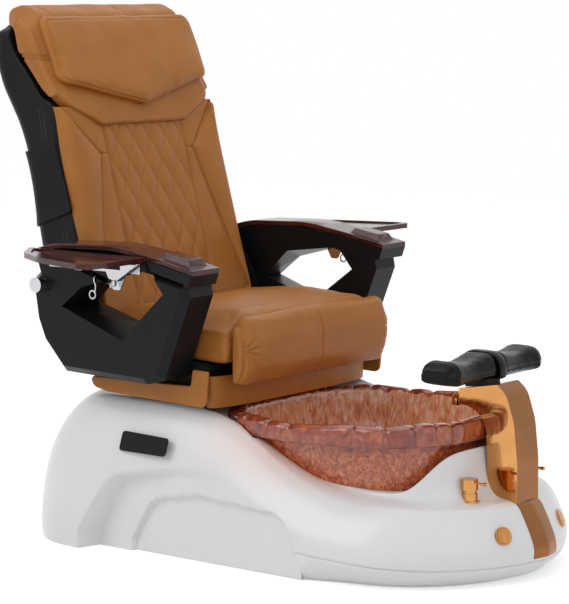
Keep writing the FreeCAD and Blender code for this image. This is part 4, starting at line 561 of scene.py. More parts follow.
def net_rows(degrees, x):
    """Rows of the net from the floor to the middle.

    Each is nose x, half width at the bowl, half width at the rear, rear x, power and height."""
    shoulder = shoulder_height(x)
    in_front = degrees is not None and x > FRONT_X
    lip = COLLAR - (COLLAR - BESIDE) * ease(degrees, 32.0, 60.0) if in_front else lip_height(x)
    rise = (shoulder - DECK) / (HUMP - DECK)
    pan = ease(x, 228.0, 348.0)
    waist = 64.0 - 14.0 * ease(x, 250.0, 600.0)
    beside = ease(degrees, 45.0, 75.0) if in_front else 1.0
    swell = min(lip - DECK, 26.0) * (1.0 - rise) * beside
    flare = DECK + 4.0 + (lip - DECK) * (0.4 + 0.6 * rise) + 0.35 * swell
    return [
        (NOSE_X - 80.0, 378.0 - 66.0 * pan, 442.0, REAR_X + 8.0, 1.9, 0.0),
        (NOSE_X - 32.0, 384.0 - 34.0 * pan, 444.0, REAR_X + 1.0, 1.85, 16.0),
        (NOSE_X, 384.0, 444.0, REAR_X, 1.8, waist),
        (NOSE_X - 24.0, 366.0, 430.0, REAR_X + 16.0, 1.85, 112.0 + 78.0 * rise),
        (NOSE_X - 48.0, 332.0, 398.0, REAR_X + 72.0, 1.95, 158.0 + 140.0 * rise),
        (NOSE_X - 66.0, 296.0, 348.0, REAR_X + 174.0, 2.1, shoulder + 2.0 + 0.15 * swell),
        (630.0, 274.0, 300.0, -380.0, 2.2, shoulder - 1.0 + 3.0 * rise + 0.55 * swell),
        (606.0, 266.0, 262.0, -340.0, 2.3, flare),
        (598.0, 262.0, 236.0, -310.0, 2.5, lip + 1.0),
        (584.0, 244.0, 190.0, -280.0, 2.6, lip + 1.0),
        (560.0, 0.0, 0.0, -250.0, 2.0, lip + 1.0),
    ]


def net_point(kind, step, row):
    """A pole of the net: superellipse quarters at nose and tail, straight stations along the side."""
    nose, front_half, rear_half, rear, power, z = row
    if kind == "side":
        share = (FRONT_X - step) / (FRONT_X - TAIL_X)
        return step, front_half + (rear_half - front_half) * share, z
    angle = math.radians(step)
    cos, sin = abs(math.cos(angle)), abs(math.sin(angle))
    if kind == "nose":
        return FRONT_X + (nose - FRONT_X) * cos ** (2 / power), front_half * sin ** (2 / power), z
    return TAIL_X - (TAIL_X - rear) * cos ** (2 / 2.5), rear_half * sin ** (2 / 2.5), z


def basis(count, t):
    """Values of the clamped even cubic B-spline basis, one row for each t from 0 to 1."""
    knots = np.concatenate([np.zeros(3), np.linspace(0, 1, count - 2), np.ones(3)])
    t = np.clip(t, 0, 1 - 1e-9)[:, None]
    weight = ((knots[:-1] <= t) & (t < knots[1:])).astype(float)
    for degree in range(1, 4):
        left = knots[degree:-1] - knots[:-degree - 1]
        right = knots[degree + 1:] - knots[1:-degree]
        with np.errstate(divide="ignore", invalid="ignore"):
            a = np.where(left > 0, (t - knots[:-degree - 1]) / left, 0.0)
            b = np.where(right > 0, (knots[degree + 1:] - t) / right, 0.0)
        weight = a * weight[:, :-1] + b * weight[:, 1:]
    return weight


def net_poles():
    """Poles of the half net, at stations from the middle of the nose round to the middle of the tail."""
    stations = [("nose", s, FRONT_X + 1.0, s) for s in (0, 15, 30, 45, 60, 75, 90)]
    stations += [("side", s, s, None) for s in (290.0, 205.0, 130.0, 30.0, -90.0, -210.0, -330.0)]
    stations += [("tail", s, TAIL_X, None) for s in (75, 60, 45, 30, 15, 0)]
    return np.array([[net_point(kind, step, row) for row in net_rows(degrees, x)]
                     for kind, step, x, degrees in stations])


def arch_line(front_x, rear_x, height):
    """Outline of an arched recess in side view, from below the floor at the rear to the front."""
    run = front_x - rear_x
    return rounded_line([
        (rear_x, -30.0, 0), (rear_x, height * 0.18, 0), (rear_x + run * 0.13, height * 0.86, run * 0.16),
        (rear_x + run * 0.42, height * 1.03, run * 0.5), (front_x - run * 0.10, height * 0.93, run * 0.15),
        (front_x - run * 0.01, height * 0.25, 0), (front_x, -30.0, 0)], 14)


def parting_height(x):
    """Height of the joint between the body and the lower pan."""
    return np.interp(x, [288, 404, 500, 577, 640, 780], [67, 60, 53, 48, 46, 45])


def skin_columns(poles):
    """Positions round the plan, closest along the arches and round the nose."""
    t = np.linspace(0, 1, 2001)
    x, y = (basis(20, t) @ poles[:, 2, axis] for axis in (0, 1))
    weight = np.where((x < 365) & (x > -335), 2.2, 1.0) + np.where((x < 340) & (x > 270), 3.0, 0.0)
    weight = weight + np.where(x > 640, 1.6, 0.0)
    length = np.concatenate([[0], np.cumsum(np.hypot(np.diff(x), np.diff(y)) * weight[1:])])
    return np.interp(np.linspace(0, length[-1], 430), length, t)


def well_share(z):
    """Size of the well round the bowl at a height, as a share of the rim's, which it clears above 305."""
    wall = np.interp(z, [104, 116, 160, 244, 316], [0.52, 0.68, 0.80, 0.88, 0.925]) + 0.006
    return wall + (1.0095 - wall) * ease(z, 298, 306)


def plan_size(x, y):
    """Size of the cubic superellipse round the bowl's middle through (x, y), as a share of the rim's."""
    return ((np.abs(x - BOWL_X) / BOWL_LONG) ** 3 + (np.abs(y) / BOWL_WIDE) ** 3) ** (1 / 3)


def base_skin():
    """Left half of the base as a grid: columns round the plan, rows up each rib, then in to the bowl's well.

    Inside each arch the skin is pressed in to a flat plane; a groove follows the joint of the lower pan."""
    poles = net_poles()
    t = skin_columns(poles)
    across = np.einsum("ci,ijk->cjk", basis(20, t), poles)
    fine = np.linspace(0, (BANDS - 2) / BANDS, 400)
    dense = np.einsum("rj,cjk->rck", basis(11, fine), across)
    over_well = (plan_size(dense[..., 0], dense[..., 1]) < well_share(dense[..., 2])) & (fine[:, None] > 0.4)
    meets = over_well.any(axis=0)
    top = np.where(meets, fine[np.maximum(np.argmax(over_well, axis=0) - 1, 0)], fine[-1])
    # Rows on the parting joint and 1.6 mm to each side of it; the joint lies near fine row 60
    near_joint = 60
    column_x = dense[near_joint, :, 0]
    joint = np.where(column_x > 286, parting_height(column_x), 60.0)
    first = np.array([np.interp(z, dense[:120, c, 2], fine[:120]) for c, z in enumerate(joint)])
    climb = np.gradient(dense[:, :, 2], axis=0)[near_joint] / (fine[1] - fine[0])
    offset = 1.6 / np.maximum(climb, 60)
    rows = []
    for share in np.linspace(0, 1, 18):
        rows.append(share * (first - 2 * offset))
    rows += [first - offset, first, first + offset]
    for share in np.linspace(0, 1, 70):
        rows.append(np.minimum((first + 2 * offset) * (1 - share) + fine[-1] * share, top))
    rows = np.array(rows)
    grid = np.empty(rows.shape + (3,))
    for c in range(len(t)):
        for k in range(3):
            grid[:, c, k] = np.interp(rows[:, c], fine, dense[:, c, k])
    x, y, z = grid[..., 0], grid[..., 1], grid[..., 2]
    wide = distance_inside(x, z, arch_line(350.0, -322.0, 219.0))
    near = distance_inside(x, z, arch_line(314.0, -200.0, 156.0))
    y = np.where(y > RELIEF_Y, y - (y - RELIEF_Y) * ease(wide, -2.0, 16.0), y)
    y = np.where(y > PANEL_Y - 4, y - (y - PANEL_Y + 4.0) * ease(near, -1.0, 4.5), y)
    line = np.abs(z - parting_height(x))
    groove = np.where((x > 288) & (z < 90), ridge(line, 1.5), 0.0)
    rear_edge = np.abs((x - 288.0) * 67.0 + (z - 67.0) * 34.0) / math.hypot(67.0, 34.0)
    groove = np.maximum(groove, np.where((z < 68) & (x < 330) & (x > 280), ridge(rear_edge, 2.0), 0.0))
    plan = np.stack([x - 120.0, y], axis=-1)
    plan /= np.maximum(np.linalg.norm(plan, axis=-1, keepdims=True), 1.0)
    x, y = x - plan[..., 0] * groove * 5.0, y - plan[..., 1] * groove * 5.0
    grid = np.stack([x, y, z], axis=-1)
    edge = grid[-1]
    order = np.argsort(edge[:, 0])
    towards = edge[:, :2] - np.array([BOWL_X, 0.0])
    angle = np.arctan2(towards[:, 1], towards[:, 0])
    reach = (np.abs(np.cos(angle) / BOWL_LONG) ** 3 + np.abs(np.sin(angle) / BOWL_WIDE) ** 3) ** (-1 / 3)
    reach = reach * well_share(edge[:, 2])
    rim = np.stack([BOWL_X + reach * np.cos(angle), reach * np.sin(angle)], axis=-1)
    rim = np.where(meets[:, None], edge[:, :2], rim)
    inner = []
    for u in (0.15, 0.4, 0.7, 0.92, 0.99, 1.0):
        plan = edge[:, :2] * (1 - u) + rim * u
        height = np.interp(plan[:, 0], edge[order, 0], edge[order, 2])
        inner.append(np.column_stack([plan, height - (1.5 if u == 1.0 else 0.0)]))
    for drop in (6.0, 60.0):
        inner.append(np.column_stack([rim, inner[-1][:, 2] - drop]))
    grid = np.concatenate([grid, np.array(inner)])
    grid[:, 0, 1] = grid[:, -1, 1] = 0.0
    return grid


SIDES = (("right", -1), ("left", 1))
skin = base_skin()
whole_skin = np.concatenate([skin * np.array([1, -1, 1]), skin[:, ::-1][:, 1:-1]], axis=1)
body = surface("base_body", whole_skin, wrap=True)
dress(body, white_coat)
settle(body, "base", "base_white", "base_shell", "lower_pan")

line = arch_line(313.0, -199.0, 155.0)
line = line[line[:, 1] > 0.5]
line = np.vstack([[line[0][0], 1.0], line, [line[-1][0], 1.0]])
for side_name, side in SIDES:
    plate = slab("side_plate_" + side_name, line, lambda a, b, h, s=side: (a, s * h, b),
                 PANEL_Y, PANEL_Y + 3.0, 1.0)
    dress(plate, white_coat)
    settle(plate, "base", "base_white", "side_panel_" + side_name)


def strip_surface():
    """Polished strip: the skin's own curve down the nose between y -46 and 46, standing 2.5 mm proud."""
    y = np.linspace(-46, 46, 25)
    lines = []
    for ring in skin[20:62, :60]:
        x, z = (np.interp(np.abs(y), ring[:, 1], ring[:, axis]) for axis in (0, 2))
        if 53 < z[12] < 188:
            lines.append(np.column_stack([x, y, z]))
    face = np.array(lines)
    return np.concatenate([face + np.array([2.5, 0, 0]), (face - np.array([3.0, 0, 0]))[::-1]])


strip = surface("nose_strip", np.swapaxes(strip_surface(), 0, 1), wrap=True, capped=True)
soften(strip, 1.0, 2)
# The strip takes the darker copy of the rose gold: painted shade.
dress(strip, rose_gold_painted_shade)
settle(strip, "base", "rose_gold", "front_strip")

badge = slab("blank_plate", rounded_line([(-214, 297, 8), (-214, 251, 8), (-68, 251, 8), (-68, 293, 8)], 6),
             lambda a, b, h: (a, -h + (b - 251) * 0.35, b), 404.0, 408.0, 1.2)
dress(badge, satin_black)
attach(badge, "base")


# Bowl

RIM_CUTS = 24
LAST_INSIDE = 60  # the last of the profile's 150 points that lies inside the rim's crest


def superellipse(share, angle):
    """Points of the cubic superellipse, half size times share: x = long |cos|^(2/3), y = wide |sin|^(2/3)."""
    c, s = np.cos(angle), np.sin(angle)
    return (BOWL_LONG * share * np.sign(c) * np.abs(c) ** (2 / 3),
            BOWL_WIDE * share * np.sign(s) * np.abs(s) ** (2 / 3))


def bowl_surface():
    """Cast bowl: one profile (share of the rim's size, height) carried round a cubic superellipse.

    The profile runs up the inside, over the drooping rim and down the outside. The rim has cut grooves,
    swells between them and rises towards the front. The walls ripple as a hammered casting does."""
    profile = flowing([
        (0.02, 112), (0.20, 112), (0.42, 113), (0.60, 122), (0.765, 162), (0.86, 244), (0.885, 318),
        (0.895, 340), (0.915, 351), (0.95, 352.5), (0.985, 347), (1.0, 334), (1.0, 318), (0.992, 309),
        (0.975, 308), (0.94, 316), (0.922, 316), (0.88, 244), (0.80, 160), (0.68, 116), (0.52, 104),
        (0.30, 104), (0.02, 104)], 150)
    angle = np.linspace(0, 2 * math.pi, 420, endpoint=False)
    share, height = profile[:, :1], profile[:, 1:]
    x, y = superellipse(share, angle[None, :])
    z = np.repeat(height, len(angle), axis=1)
    on_rim = ease(share, 0.88, 0.93) * ease(z, 300, 322)
    rng = np.random.default_rng(4)
    cuts = (np.arange(RIM_CUTS) + rng.uniform(-0.3, 0.3, RIM_CUTS)) / RIM_CUTS * 2 * math.pi
    gaps = (angle[None, :] - cuts[:, None] + math.pi) % (2 * math.pi) - math.pi
    nearest = np.abs(gaps).min(0) * (BOWL_LONG + BOWL_WIDE) / 2
    cut = ridge(nearest, 3.0)[None, :]
    swell = ease(nearest, 0, 26)[None, :] * 2.5
    lift = 15.0 * ease(x, -60.0, 300.0) * ease(z, 250.0, 345.0)
    outer = (np.arange(len(share))[:, None] > LAST_INSIDE).astype(float)
    radial = on_rim * (swell - 8.0 * cut) * outer
    out = np.hypot(x, y)
    points = np.stack([x, y, z], axis=-1)
    hammered = soft_noise(points * np.array([1, 1, 0.45]), 21.0, 3)
    ripple = hammered * 1.3 * ease(z, 106, 130) * (1 - 0.75 * on_rim)
    grow = 1 + (radial + ripple - 1.2) / np.maximum(out, 40.0)
    wave = 2.2 * np.sin(angle * 9 + 0.8)[None, :] * on_rim + (swell - 2.0 - 7.0 * cut) * on_rim * 0.8
    return np.stack([BOWL_X + x * grow, y * grow, z + lift + wave - 1.0], axis=-1)


bowl = surface("resin_bowl", bowl_surface(), wrap=True, capped=True)
for resin in (outer_resin, resin_painted_lit_inside, resin_painted_shade_rim):
    bowl.data.materials.append(resin)
# Faces in the well take the lighter inside copy (painted light), the rim's crest the darker rim copy (painted
# shade), the rest the outside resin.
middles = np.zeros(len(bowl.data.polygons) * 3)
bowl.data.polygons.foreach_get("center", middles)
middles = middles.reshape(-1, 3) / MM
size, height = plan_size(middles[:, 0], middles[:, 1]), middles[:, 2]
painted_light_faces = size < np.interp(height, [104, 110, 116, 160, 244, 316], [0.0, 0.5, 0.64, 0.785, 0.868, 0.895])
bowl.data.polygons.foreach_set("material_index", np.where((size > 0.893) & (height > 300), 2, painted_light_faces * 1))
settle(bowl, "base", "bowl_resin", "bowl")


# Arch

arch_corners = [(612.0, 160.0, 0), (601.0, 393.0, 66.0), (527.0, 392.0, 2.0), (527.0, 431.0, 3.0),
                (632.0, 449.0, 6.0), (658.0, 428.0, 60.0), (680.0, 362.0, 150.0), (690.0, 270.0, 200.0),
                (690.0, 160.0, 0)]
arch = slab("polished_arch", rounded_line(arch_corners, 22), lambda a, b, h: (a, h, b), -46.0, 46.0, 0.8)
arch.data.materials.append(rose_gold)
arch.data.materials.append(rose_gold_painted_shade)
# Faces turned to the front take the darker copy: painted shade.
for polygon in arch.data.polygons:
    polygon.material_index = int(polygon.normal.x > 0.3)
settle(arch, "base", "rose_gold", "footrest_arch")


# Foot cushion: two hollows for the calves, raised ends, and a strap round its middle

FOOT_HALF = 200.0


def foot_section(share, grow=0.0):
    """Rounded section across the cushion at a share of its half length, grow mm larger all round."""
    share = abs(share)
    end = float(ease(share, 0.84, 1.0))
    hollow = 0.30 * (0.5 - 0.5 * math.cos(2 * math.pi * share))
    height = 56.0 * (1.0 - hollow) * (1 - 0.46 * end) + 2 * grow
    half = 56.0 * (1 - 0.12 * math.sin(math.pi * share) ** 2) * (1 - 0.30 * end) + grow
    low = 459.0 - grow + 6.0 * end
    crown = min(half * 0.8, height * 0.66)
    line = rounded_line([(562 - half, low, 9.0), (562 + half, low, 9.0), (562 + half, low + height, crown),
                         (562 - half, low + height, crown)], 8)
    return resampled(line, 72)


def loft(shares, section, half):
    """Sections carried along Y, one for each share of the half width."""
    rows = []
    for share in shares:
        line = section(share)
        rows.append(np.column_stack([line[:, 0], np.full(len(line), share * half), line[:, 1]]))
    return np.array(rows)


def end_heavy(count):
    """Shares from -1 to 1, sin(pi u / 2), which stand closest at the two ends."""
    return np.sin(np.linspace(-1, 1, count) * math.pi / 2)


foot_pad = surface("foot_pad", loft(end_heavy(41), foot_section, FOOT_HALF), wrap=True, capped=True)
stuffed(foot_pad, 5.0, 3.0, 3.0)


def foot_dents(p, n):
    """Seam round the sides, one near each end, and the pinch at either edge of the strap."""
    y = np.abs(p[:, 1])
    side_seam = np.where(np.abs(n[:, 2]) < 0.6, ridge(p[:, 2] - 473.0, 2.5), 0.0)
    ends = ridge(y - 172.0, 3.0) * (n[:, 2] > 0.1)
    return -1.8 * side_seam - 1.6 * ends - 2.6 * ridge(y - 17.0, 4.5) + 0.35 * soft_noise(p, 34.0, 5)


dented(foot_pad, foot_dents)
dress(foot_pad, gloss_hide)
settle(foot_pad, "base", "black_leather", "foot_cushion")

STRAP = 0.07  # half the strap's width, as a share of the cushion's half length
across = np.linspace(-STRAP, STRAP, 9)
outside = loft(across, lambda s: foot_section(s, 2.6 + 1.2 * math.cos(s / STRAP * 1.4)), FOOT_HALF)
inside = loft(across, lambda s: foot_section(s, 0.4), FOOT_HALF)
strap = surface("foot_strap_band", np.concatenate([outside, inside[::-1], outside[:1]]), wrap=True)
dress(strap, gloss_hide)
settle(strap, "base", "black_leather", "foot_strap")


# Seat cushion and its waterfall front

def seat_section(share):
    """Boxed section with a crowned top, lower at the sides."""
    edge = float(ease(abs(share), 0.70, 1.0))
    top = 588.0 - 40.0 * edge
    rear, front = -343.0 + 12.0 * edge, 44.0 - 4.0 * edge
    corners = [(-328.0, 472.0, 4), (front, 472.0, 8), (front, top - 6.0, 14),
               ((rear + front) / 2, top + 3.0, 800), (rear, top - 18.0, 20), (rear, 512.0, 2),
               (-328.0, 501.0, 2)]
    return resampled(rounded_line(corners, 10), 150)


seat = surface("seat_pad", loft(end_heavy(45) * 0.985, seat_section, 317.0), wrap=True, capped=True)
stuffed(seat, 7.0, 3.0, 5.0)


def seat_dents(p, n):
    """Boxing seam round the sides, soft creases where a sitter's legs go over, and gentle hide folds."""
    x, y, z = p.T
    side_face = np.abs(n[:, 1]) > 0.55
    seam = np.where(side_face, ridge(z - 541.0, 3.0), 0.0)
    low = np.where(side_face, ridge(z - 480.0, 3.0), 0.0)
    waves = np.sin(x / 17.0 + 2.2 * np.sin(y / 120.0)) * ease(x, -120, 20) * 0.9
    folds = np.where(n[:, 2] > 0.4, waves, 0.0)
    arc = ridge((x - 28.0) - 0.0006 * (y + 120.0) ** 2, 9.0) * ease(-y, 40, 240) * 2.4
    crease = np.where(n[:, 2] > 0.2, arc, 0.0)
    pucker = np.where(side_face, np.sin(x / 5.0) * ridge(z - 533.0, 9.0) * 0.35, 0.0)
    return -2.6 * seam - 1.6 * low - folds - crease - pucker + 0.9 * soft_noise(p, 95.0, 7)


dented(seat, seat_dents)
dress(seat, camel)
settle(seat, "seat", "camel_leather", "seat_cushion")


def roll_section(share):
    """Waterfall front: nearly upright face, rounded over at the top and tucked under below."""
    end = float(ease(abs(share), 0.88, 1.0))
    rear = 47.5
    depth = 43.0 * (1 - 0.42 * end)
    top = 588.0 - 30.0 * end - 5.0 * abs(share)
    low = 416.0 + 8.0 * end
    corners = [(rear, low, 4), (rear + 0.50 * depth, low, 12), (rear + 0.96 * depth, low + 40, 46),
               (rear + depth, top - 58, 60), (rear + 0.62 * depth, top, 22), (rear, top, 4)]
    return resampled(rounded_line(corners, 9), 120)


roll = surface("seat_front", loft(end_heavy(51) * 0.99, roll_section, 302.0), wrap=True, capped=True)
stuffed(roll, 5.5, 3.0, 4.0)


def roll_dents(p, n):
    """Seam down the middle with small puckers, corner seams and the gathers beside them."""
    x, y, z = p.T
    front = x > 52.0
    middle = ridge(y - 2.0, 2.6)
    pucker = np.sin(z / 4.2) * ridge(np.abs(y - 2.0) - 9.0, 7.0) * 0.35
    corner = np.abs(y) - 287.0 + 6.0 * ease(z, 540, 590)
    seam = ridge(corner, 2.6)
    angle = np.arctan2(z - 505.0, np.maximum(290.0 - np.abs(y), 1.0))
    reach = np.hypot(z - 505.0, 290.0 - np.abs(y))
    gathers = np.sin(angle * 11.0) * ridge(reach - 16.0, 20.0) * 2.4 * (np.abs(y) < 289)
    broad = soft_noise(p * np.array([1, 0.6, 1]), 120.0, 11)
    return np.where(front, -3.2 * middle - pucker - 3.0 * seam - gathers, 0.0) + 1.1 * broad


dented(roll, roll_dents)
dress(roll, camel)
settle(roll, "seat", "camel_leather", "seat_roll")


# Skirt under the roll and the padded side valances

def skirt_surface():
    """Curved apron: a superellipse of power 5 in plan, its ends swept back, its face bulging a little."""
    y = end_heavy(81) * 307.0
    z = np.linspace(361.0, 437.0, 22)
    front = -14.0 + 32.0 * (1 - np.abs(y / 307.5) ** 5) ** 0.5
    bulge = 1.5 * np.sin((z - 361.0) / 76.0 * math.pi)
    across, up = np.meshgrid(y, z)
    face = np.stack([front + bulge[:, None], across, up], axis=-1)
    return np.concatenate([face, (face - np.array([9.0, 0, 0]))[::-1]])


skirt = surface("seat_skirt", np.swapaxes(skirt_surface(), 0, 1), wrap=True, capped=True)
soften(skirt, 2.5)
dress(skirt, camel)
settle(skirt, "seat", "camel_leather", "front_skirt")

line = rounded_line([(-352, 412, 8), (-346, 388, 22), (-300, 378, 24), (14, 369, 18), (22, 457, 5),
                     (-26, 458, 5), (-32, 418, 8)], 8)
for side_name, side in SIDES:
    valance = slab("seat_valance_" + side_name, line, lambda a, b, h, s=side: (a, s * h, b),
                   346.0, 354.0, 3.0)
    dress(valance, camel)
    settle(valance, "seat", "camel_leather", "side_valance_" + side_name)


# Backrest

QUILT = 151.0  # half the width of the quilted middle
TURN = 942.0  # height where the side seams turn out towards the shoulders


def back_line(z):
    """X of the backrest's front face at a height: one straight lean."""
    return -352.0 - 150.0 * (np.asarray(z, float) - 508.0) / 558.0


def bolster_line(z):
    """Half width where the side bolster begins below the turn: wider towards the seat."""
    return 178.0 + (TURN - np.asarray(z, float)) * 0.274


def shoulder_line(z):
    """Half width where the side bolster begins above the turn: wider towards the top."""
    return 178.0 + (z - TURN) * 0.95


def back_relief(y, z):
    """How far the leather stands ahead of the back's plane: quilted middle, flat bands, full bolsters."""
    s = np.abs(y)
    line = np.clip(bolster_line(z), QUILT + 24.0, 278.0)
    line = np.where(z > TURN, np.minimum(shoulder_line(z), 284.0), line)
    flat_band = (s > QUILT) & (s < line)
    a, b = (y + 16.0) / 31.0, (z - 810.0) / 56.0
    first, second = np.abs(np.sin(math.pi * (a + b) / 2)), np.abs(np.sin(math.pi * (a - b) / 2))
    puff = (first * second + 1e-6) ** 0.38
    tuft = ridge(np.hypot(first, second), 0.16)
    inner = ease(QUILT - s, 0.0, 10.0) * (7.0 * puff - 2.2 * tuft - 0.8)
    band = np.clip((s - QUILT) / np.maximum(line - QUILT, 1.0), 0, 1)
    flat = np.where(flat_band, 5.0 * np.sin(math.pi * band) ** 0.6, 0.0)
    side = np.clip((s - line) / np.maximum(290.0 - line, 1.0), 0, 1)
    full = np.where(s >= line, 17.0 * np.sin(math.pi * np.clip(side * 0.86, 0, 1)) ** 0.55, 0.0)
    seams = ridge(s - QUILT, 2.6) * 3.5 + ridge(s - line, 2.8) * 4.5
    seams = seams + np.where(flat_band, ridge(z - TURN, 2.8) * 3.5, 0.0)
    return inner + flat + full - seams


def back_surface():
    """Back cushion as one closed grid: leather face, rolled-over sides, flat rear."""
    z = np.linspace(512.0, 1062.0, 225)
    y = np.linspace(-1, 1, 231) * 288.0
    yy, zz = np.meshgrid(y, z)
    sides = (1 - np.clip((np.abs(yy) - 272.0) / 16.0, 0, 1) ** 2.4) ** 0.42
    ends = (1 - np.clip((540.0 - zz) / 28.0, 0, 1) ** 2.4) ** 0.45
    ahead = back_relief(yy, zz) - 3.0 - 14.0 * (1 - sides) - 10.0 * (1 - ends)
    face = np.stack([back_line(zz) + ahead, yy, zz], axis=-1)
    rear = back_line(z) - 40.0
    walls = []
    for edge in (0, -1):
        x, y = face[:, edge, 0], face[:, edge, 1]
        walls.append(np.stack([np.column_stack([x * (1 - depth) + rear * depth, y, z])
                               for depth in np.linspace(0, 1, 7)[1:]], axis=1))
    return np.concatenate([walls[0][:, ::-1], face, walls[1]], axis=1)


back = surface("back_leather", back_surface(), wrap=True, capped=True)
dress(back, camel)
settle(back, "back", "camel_leather", "back_cushion")


def hood_surface():
    """Padded hood: a closed outline in side view for each y, its lower edge cut to a chevron.

    Each end is rolled in: the last outline shrinks on to the line midway between its front and its rear."""
    rows = []
    for share in end_heavy(151):
        y = share * 288.0
        low = 1009.0 + 60.0 * float(np.clip((abs(y) - 158.0) / 128.0, 0, 1))
        end = float(ease(abs(share), 0.90, 1.0))
        full = 8.0 * math.sqrt(max(1 - share ** 2, 0))
        top = -20.0 * end
        front_x = float(back_line(low)) + 8.0 + full * 0.5
        bend = max(1085.0, low + 72.0)
        outline = [
            (front_x, low + 4.0, 9), (-506.0 - (bend - 1085.0) * 0.454 + full - 8.0 * end, bend, 60),
            (-600.0 + full * 0.6 - 6 * end, 1292.0 + top, 40), (-652.0, 1316.0 + top, 50),
            (-702.0 + 26.0 * end, 1300.0 + top, 22), (-705.0 + 36.0 * end, 1262.0, 10),
            (-674.0 + 8.0 * end, 1256.0, 14), (-655.0, 1199.0, 34), (-560.0, 1092.0, 20),
            (front_x - 36.0, low + 1.0, 6)]
        line = resampled(rounded_line(outline, 9), 330)
        middle = line.mean(0)
        line = middle + (line - middle) * (1 - 0.14 * end)
        rows.append(np.column_stack([line[:, 0], np.full(len(line), y), line[:, 1]]))
    ends = []
    for row, side in ((rows[0], -1), (rows[-1], 1)):
        midway = (row + row[::-1]) / 2
        crown = np.minimum(np.linalg.norm(row - midway, axis=1), 9.0)[:, None] * np.array([0, side, 0])
        ends.append([row * (1 - u) + midway * u + crown * math.sqrt(1 - (1 - u) ** 2)
                     for u in (0.04, 0.12, 0.25, 0.42, 0.65, 0.85, 1.0)])
    return np.array(ends[0][::-1] + rows + ends[1])


hood = surface("hood_leather", hood_surface(), wrap=True)


def hood_dents(p, n):
    """Seams over the top at either side of the head and across each wing, with soft folds between."""
    x, y, z = p.T
    right = y - np.interp(x, [-700, -600], [-246, -216])
    left = y - np.interp(x, [-700, -600], [37, 52])
    over = (ridge(right, 2.6) + ridge(left, 2.6)) * (z > 1270)
    height = z - 1186.0 - 0.05 * (np.abs(y) - 250)
    wing = (ridge(height, 3.0) + ridge(height + 9.0, 3.0)) * (np.abs(y) > 200) * (n[:, 0] > -0.8)
    middle = ridge(np.abs(y) - 4.5, 1.8) * (z < 1080) * (n[:, 0] > 0.2)
    return -4.0 * over - 4.4 * wing - 2.6 * middle + 1.2 * soft_noise(p, 110.0, 15)


dented(hood, hood_dents)
dress(hood, camel)
settle(hood, "back", "camel_leather", "back_hood")

PILLOW = [(-281, 1286, 26), (-281, 1124, 26), (0, 1058, 24), (281, 1124, 26), (281, 1286, 26)]
PILLOW_MIDDLE = np.array([0.0, 1195.0])


def pillow_surface():
    """Head pillow: a rounded pentagon, crowned in front, in rings from the rear middle round the edge."""
    outline = resampled(rounded_line(PILLOW, 12), 220)
    rings = []
    profile = [(0.05, 1.0), (0.7, 1.0), (0.955, 1.5), (0.99, 6.0), (1.005, 16.0), (1.005, 28.0),
               (0.985, 38.0), (0.94, 45.0), (0.84, 50.0), (0.66, 54.0), (0.42, 56.0), (0.2, 57.0),
               (0.05, 57.0)]
    for share, ahead in flowing(profile, 70):
        line = PILLOW_MIDDLE + (outline - PILLOW_MIDDLE) * share
        lean = (line[:, 1] - 1056.0) / 230.0
        x = -510.0 - 87.0 * lean + ahead * (1.05 - 0.45 * lean)
        rings.append(np.column_stack([x, line[:, 0], line[:, 1]]))
    return np.array(rings)


pillow = surface("pillow_leather", pillow_surface(), wrap=True, capped=True)
stuffed(pillow, 5.0, 2.5, 3.0)


def pillow_dents(p, n):
    """Seam 8 mm inside the front's outline."""
    inside = distance_inside(p[:, 1], p[:, 2], rounded_line(PILLOW, 6))
    front = n[:, 0] > 0.1
    return np.where(front, -2.6 * ridge(inside - 8.0, 2.4), 0.0) + 0.9 * soft_noise(p, 100.0, 21)


dented(pillow, pillow_dents)
dress(pillow, camel)
settle(pillow, "back", "camel_leather", "head_pillow")

SHELL_REAR = flowing([(500, -560), (560, -590), (620, -606), (740, -632), (880, -656), (1000, -694),
                      (1065, -718), (1120, -738), (1180, -748), (1230, -740), (1264, -722)], 160)
SHELL_FRONT = flowing([(500, -412), (560, -398), (700, -436), (933, -500), (1060, -528), (1085, -566),
                       (1140, -612), (1204, -664), (1264, -684)], 160)


def shell_rear(z):
    """X of the shell's rear middle at a height."""
    return np.interp(z, SHELL_REAR[:, 0], SHELL_REAR[:, 1])


def shell_front(z):
    """X of the shell's front edge at a height."""
    return np.interp(z, SHELL_FRONT[:, 0], SHELL_FRONT[:, 1])


def shell_ring(z, grow, count):
    """Plan of the back shell at a height: flat front, straight sides, round corners, bulging rear."""
    rear, front = shell_rear(z) - grow, shell_front(z)
    side = 290.0 + grow
    bulge = 42.0 * ease(1075.0 - z, -190, 120) + 6.0
    corner = min(34.0, (front - rear - bulge) * 0.42)
    corners = [(front, -side, 5), (front, side, 5), (rear + bulge, side, max(corner, 8)),
               (rear + bulge * 0.28, side * 0.62, 150), (rear, 0.0, 500),
               (rear + bulge * 0.28, -side * 0.62, 150), (rear + bulge, -side, max(corner, 8))]
    line = resampled(rounded_line(corners, 8), count)
    return np.column_stack([line[:, 0], line[:, 1], np.full(count, z)])


levels = np.concatenate([np.linspace(501, 512, 5), np.linspace(520, 1240, 100), np.linspace(1246, 1264, 6)])
rings = []
for z in levels:
    ring = shell_ring(z, 0.0, 150)
    shrink = 1 - 0.05 * float(ease(512 - z, 0, 11)) - 0.10 * float(ease(z, 1235, 1264)) ** 2
    middle = ring.mean(0) * np.array([1, 1, 0])
    ring[:, :2] = middle[:2] + (ring[:, :2] - middle[:2]) * shrink
    rings.append(ring)
shell = surface("back_cover", np.array(rings), wrap=True, capped=True)


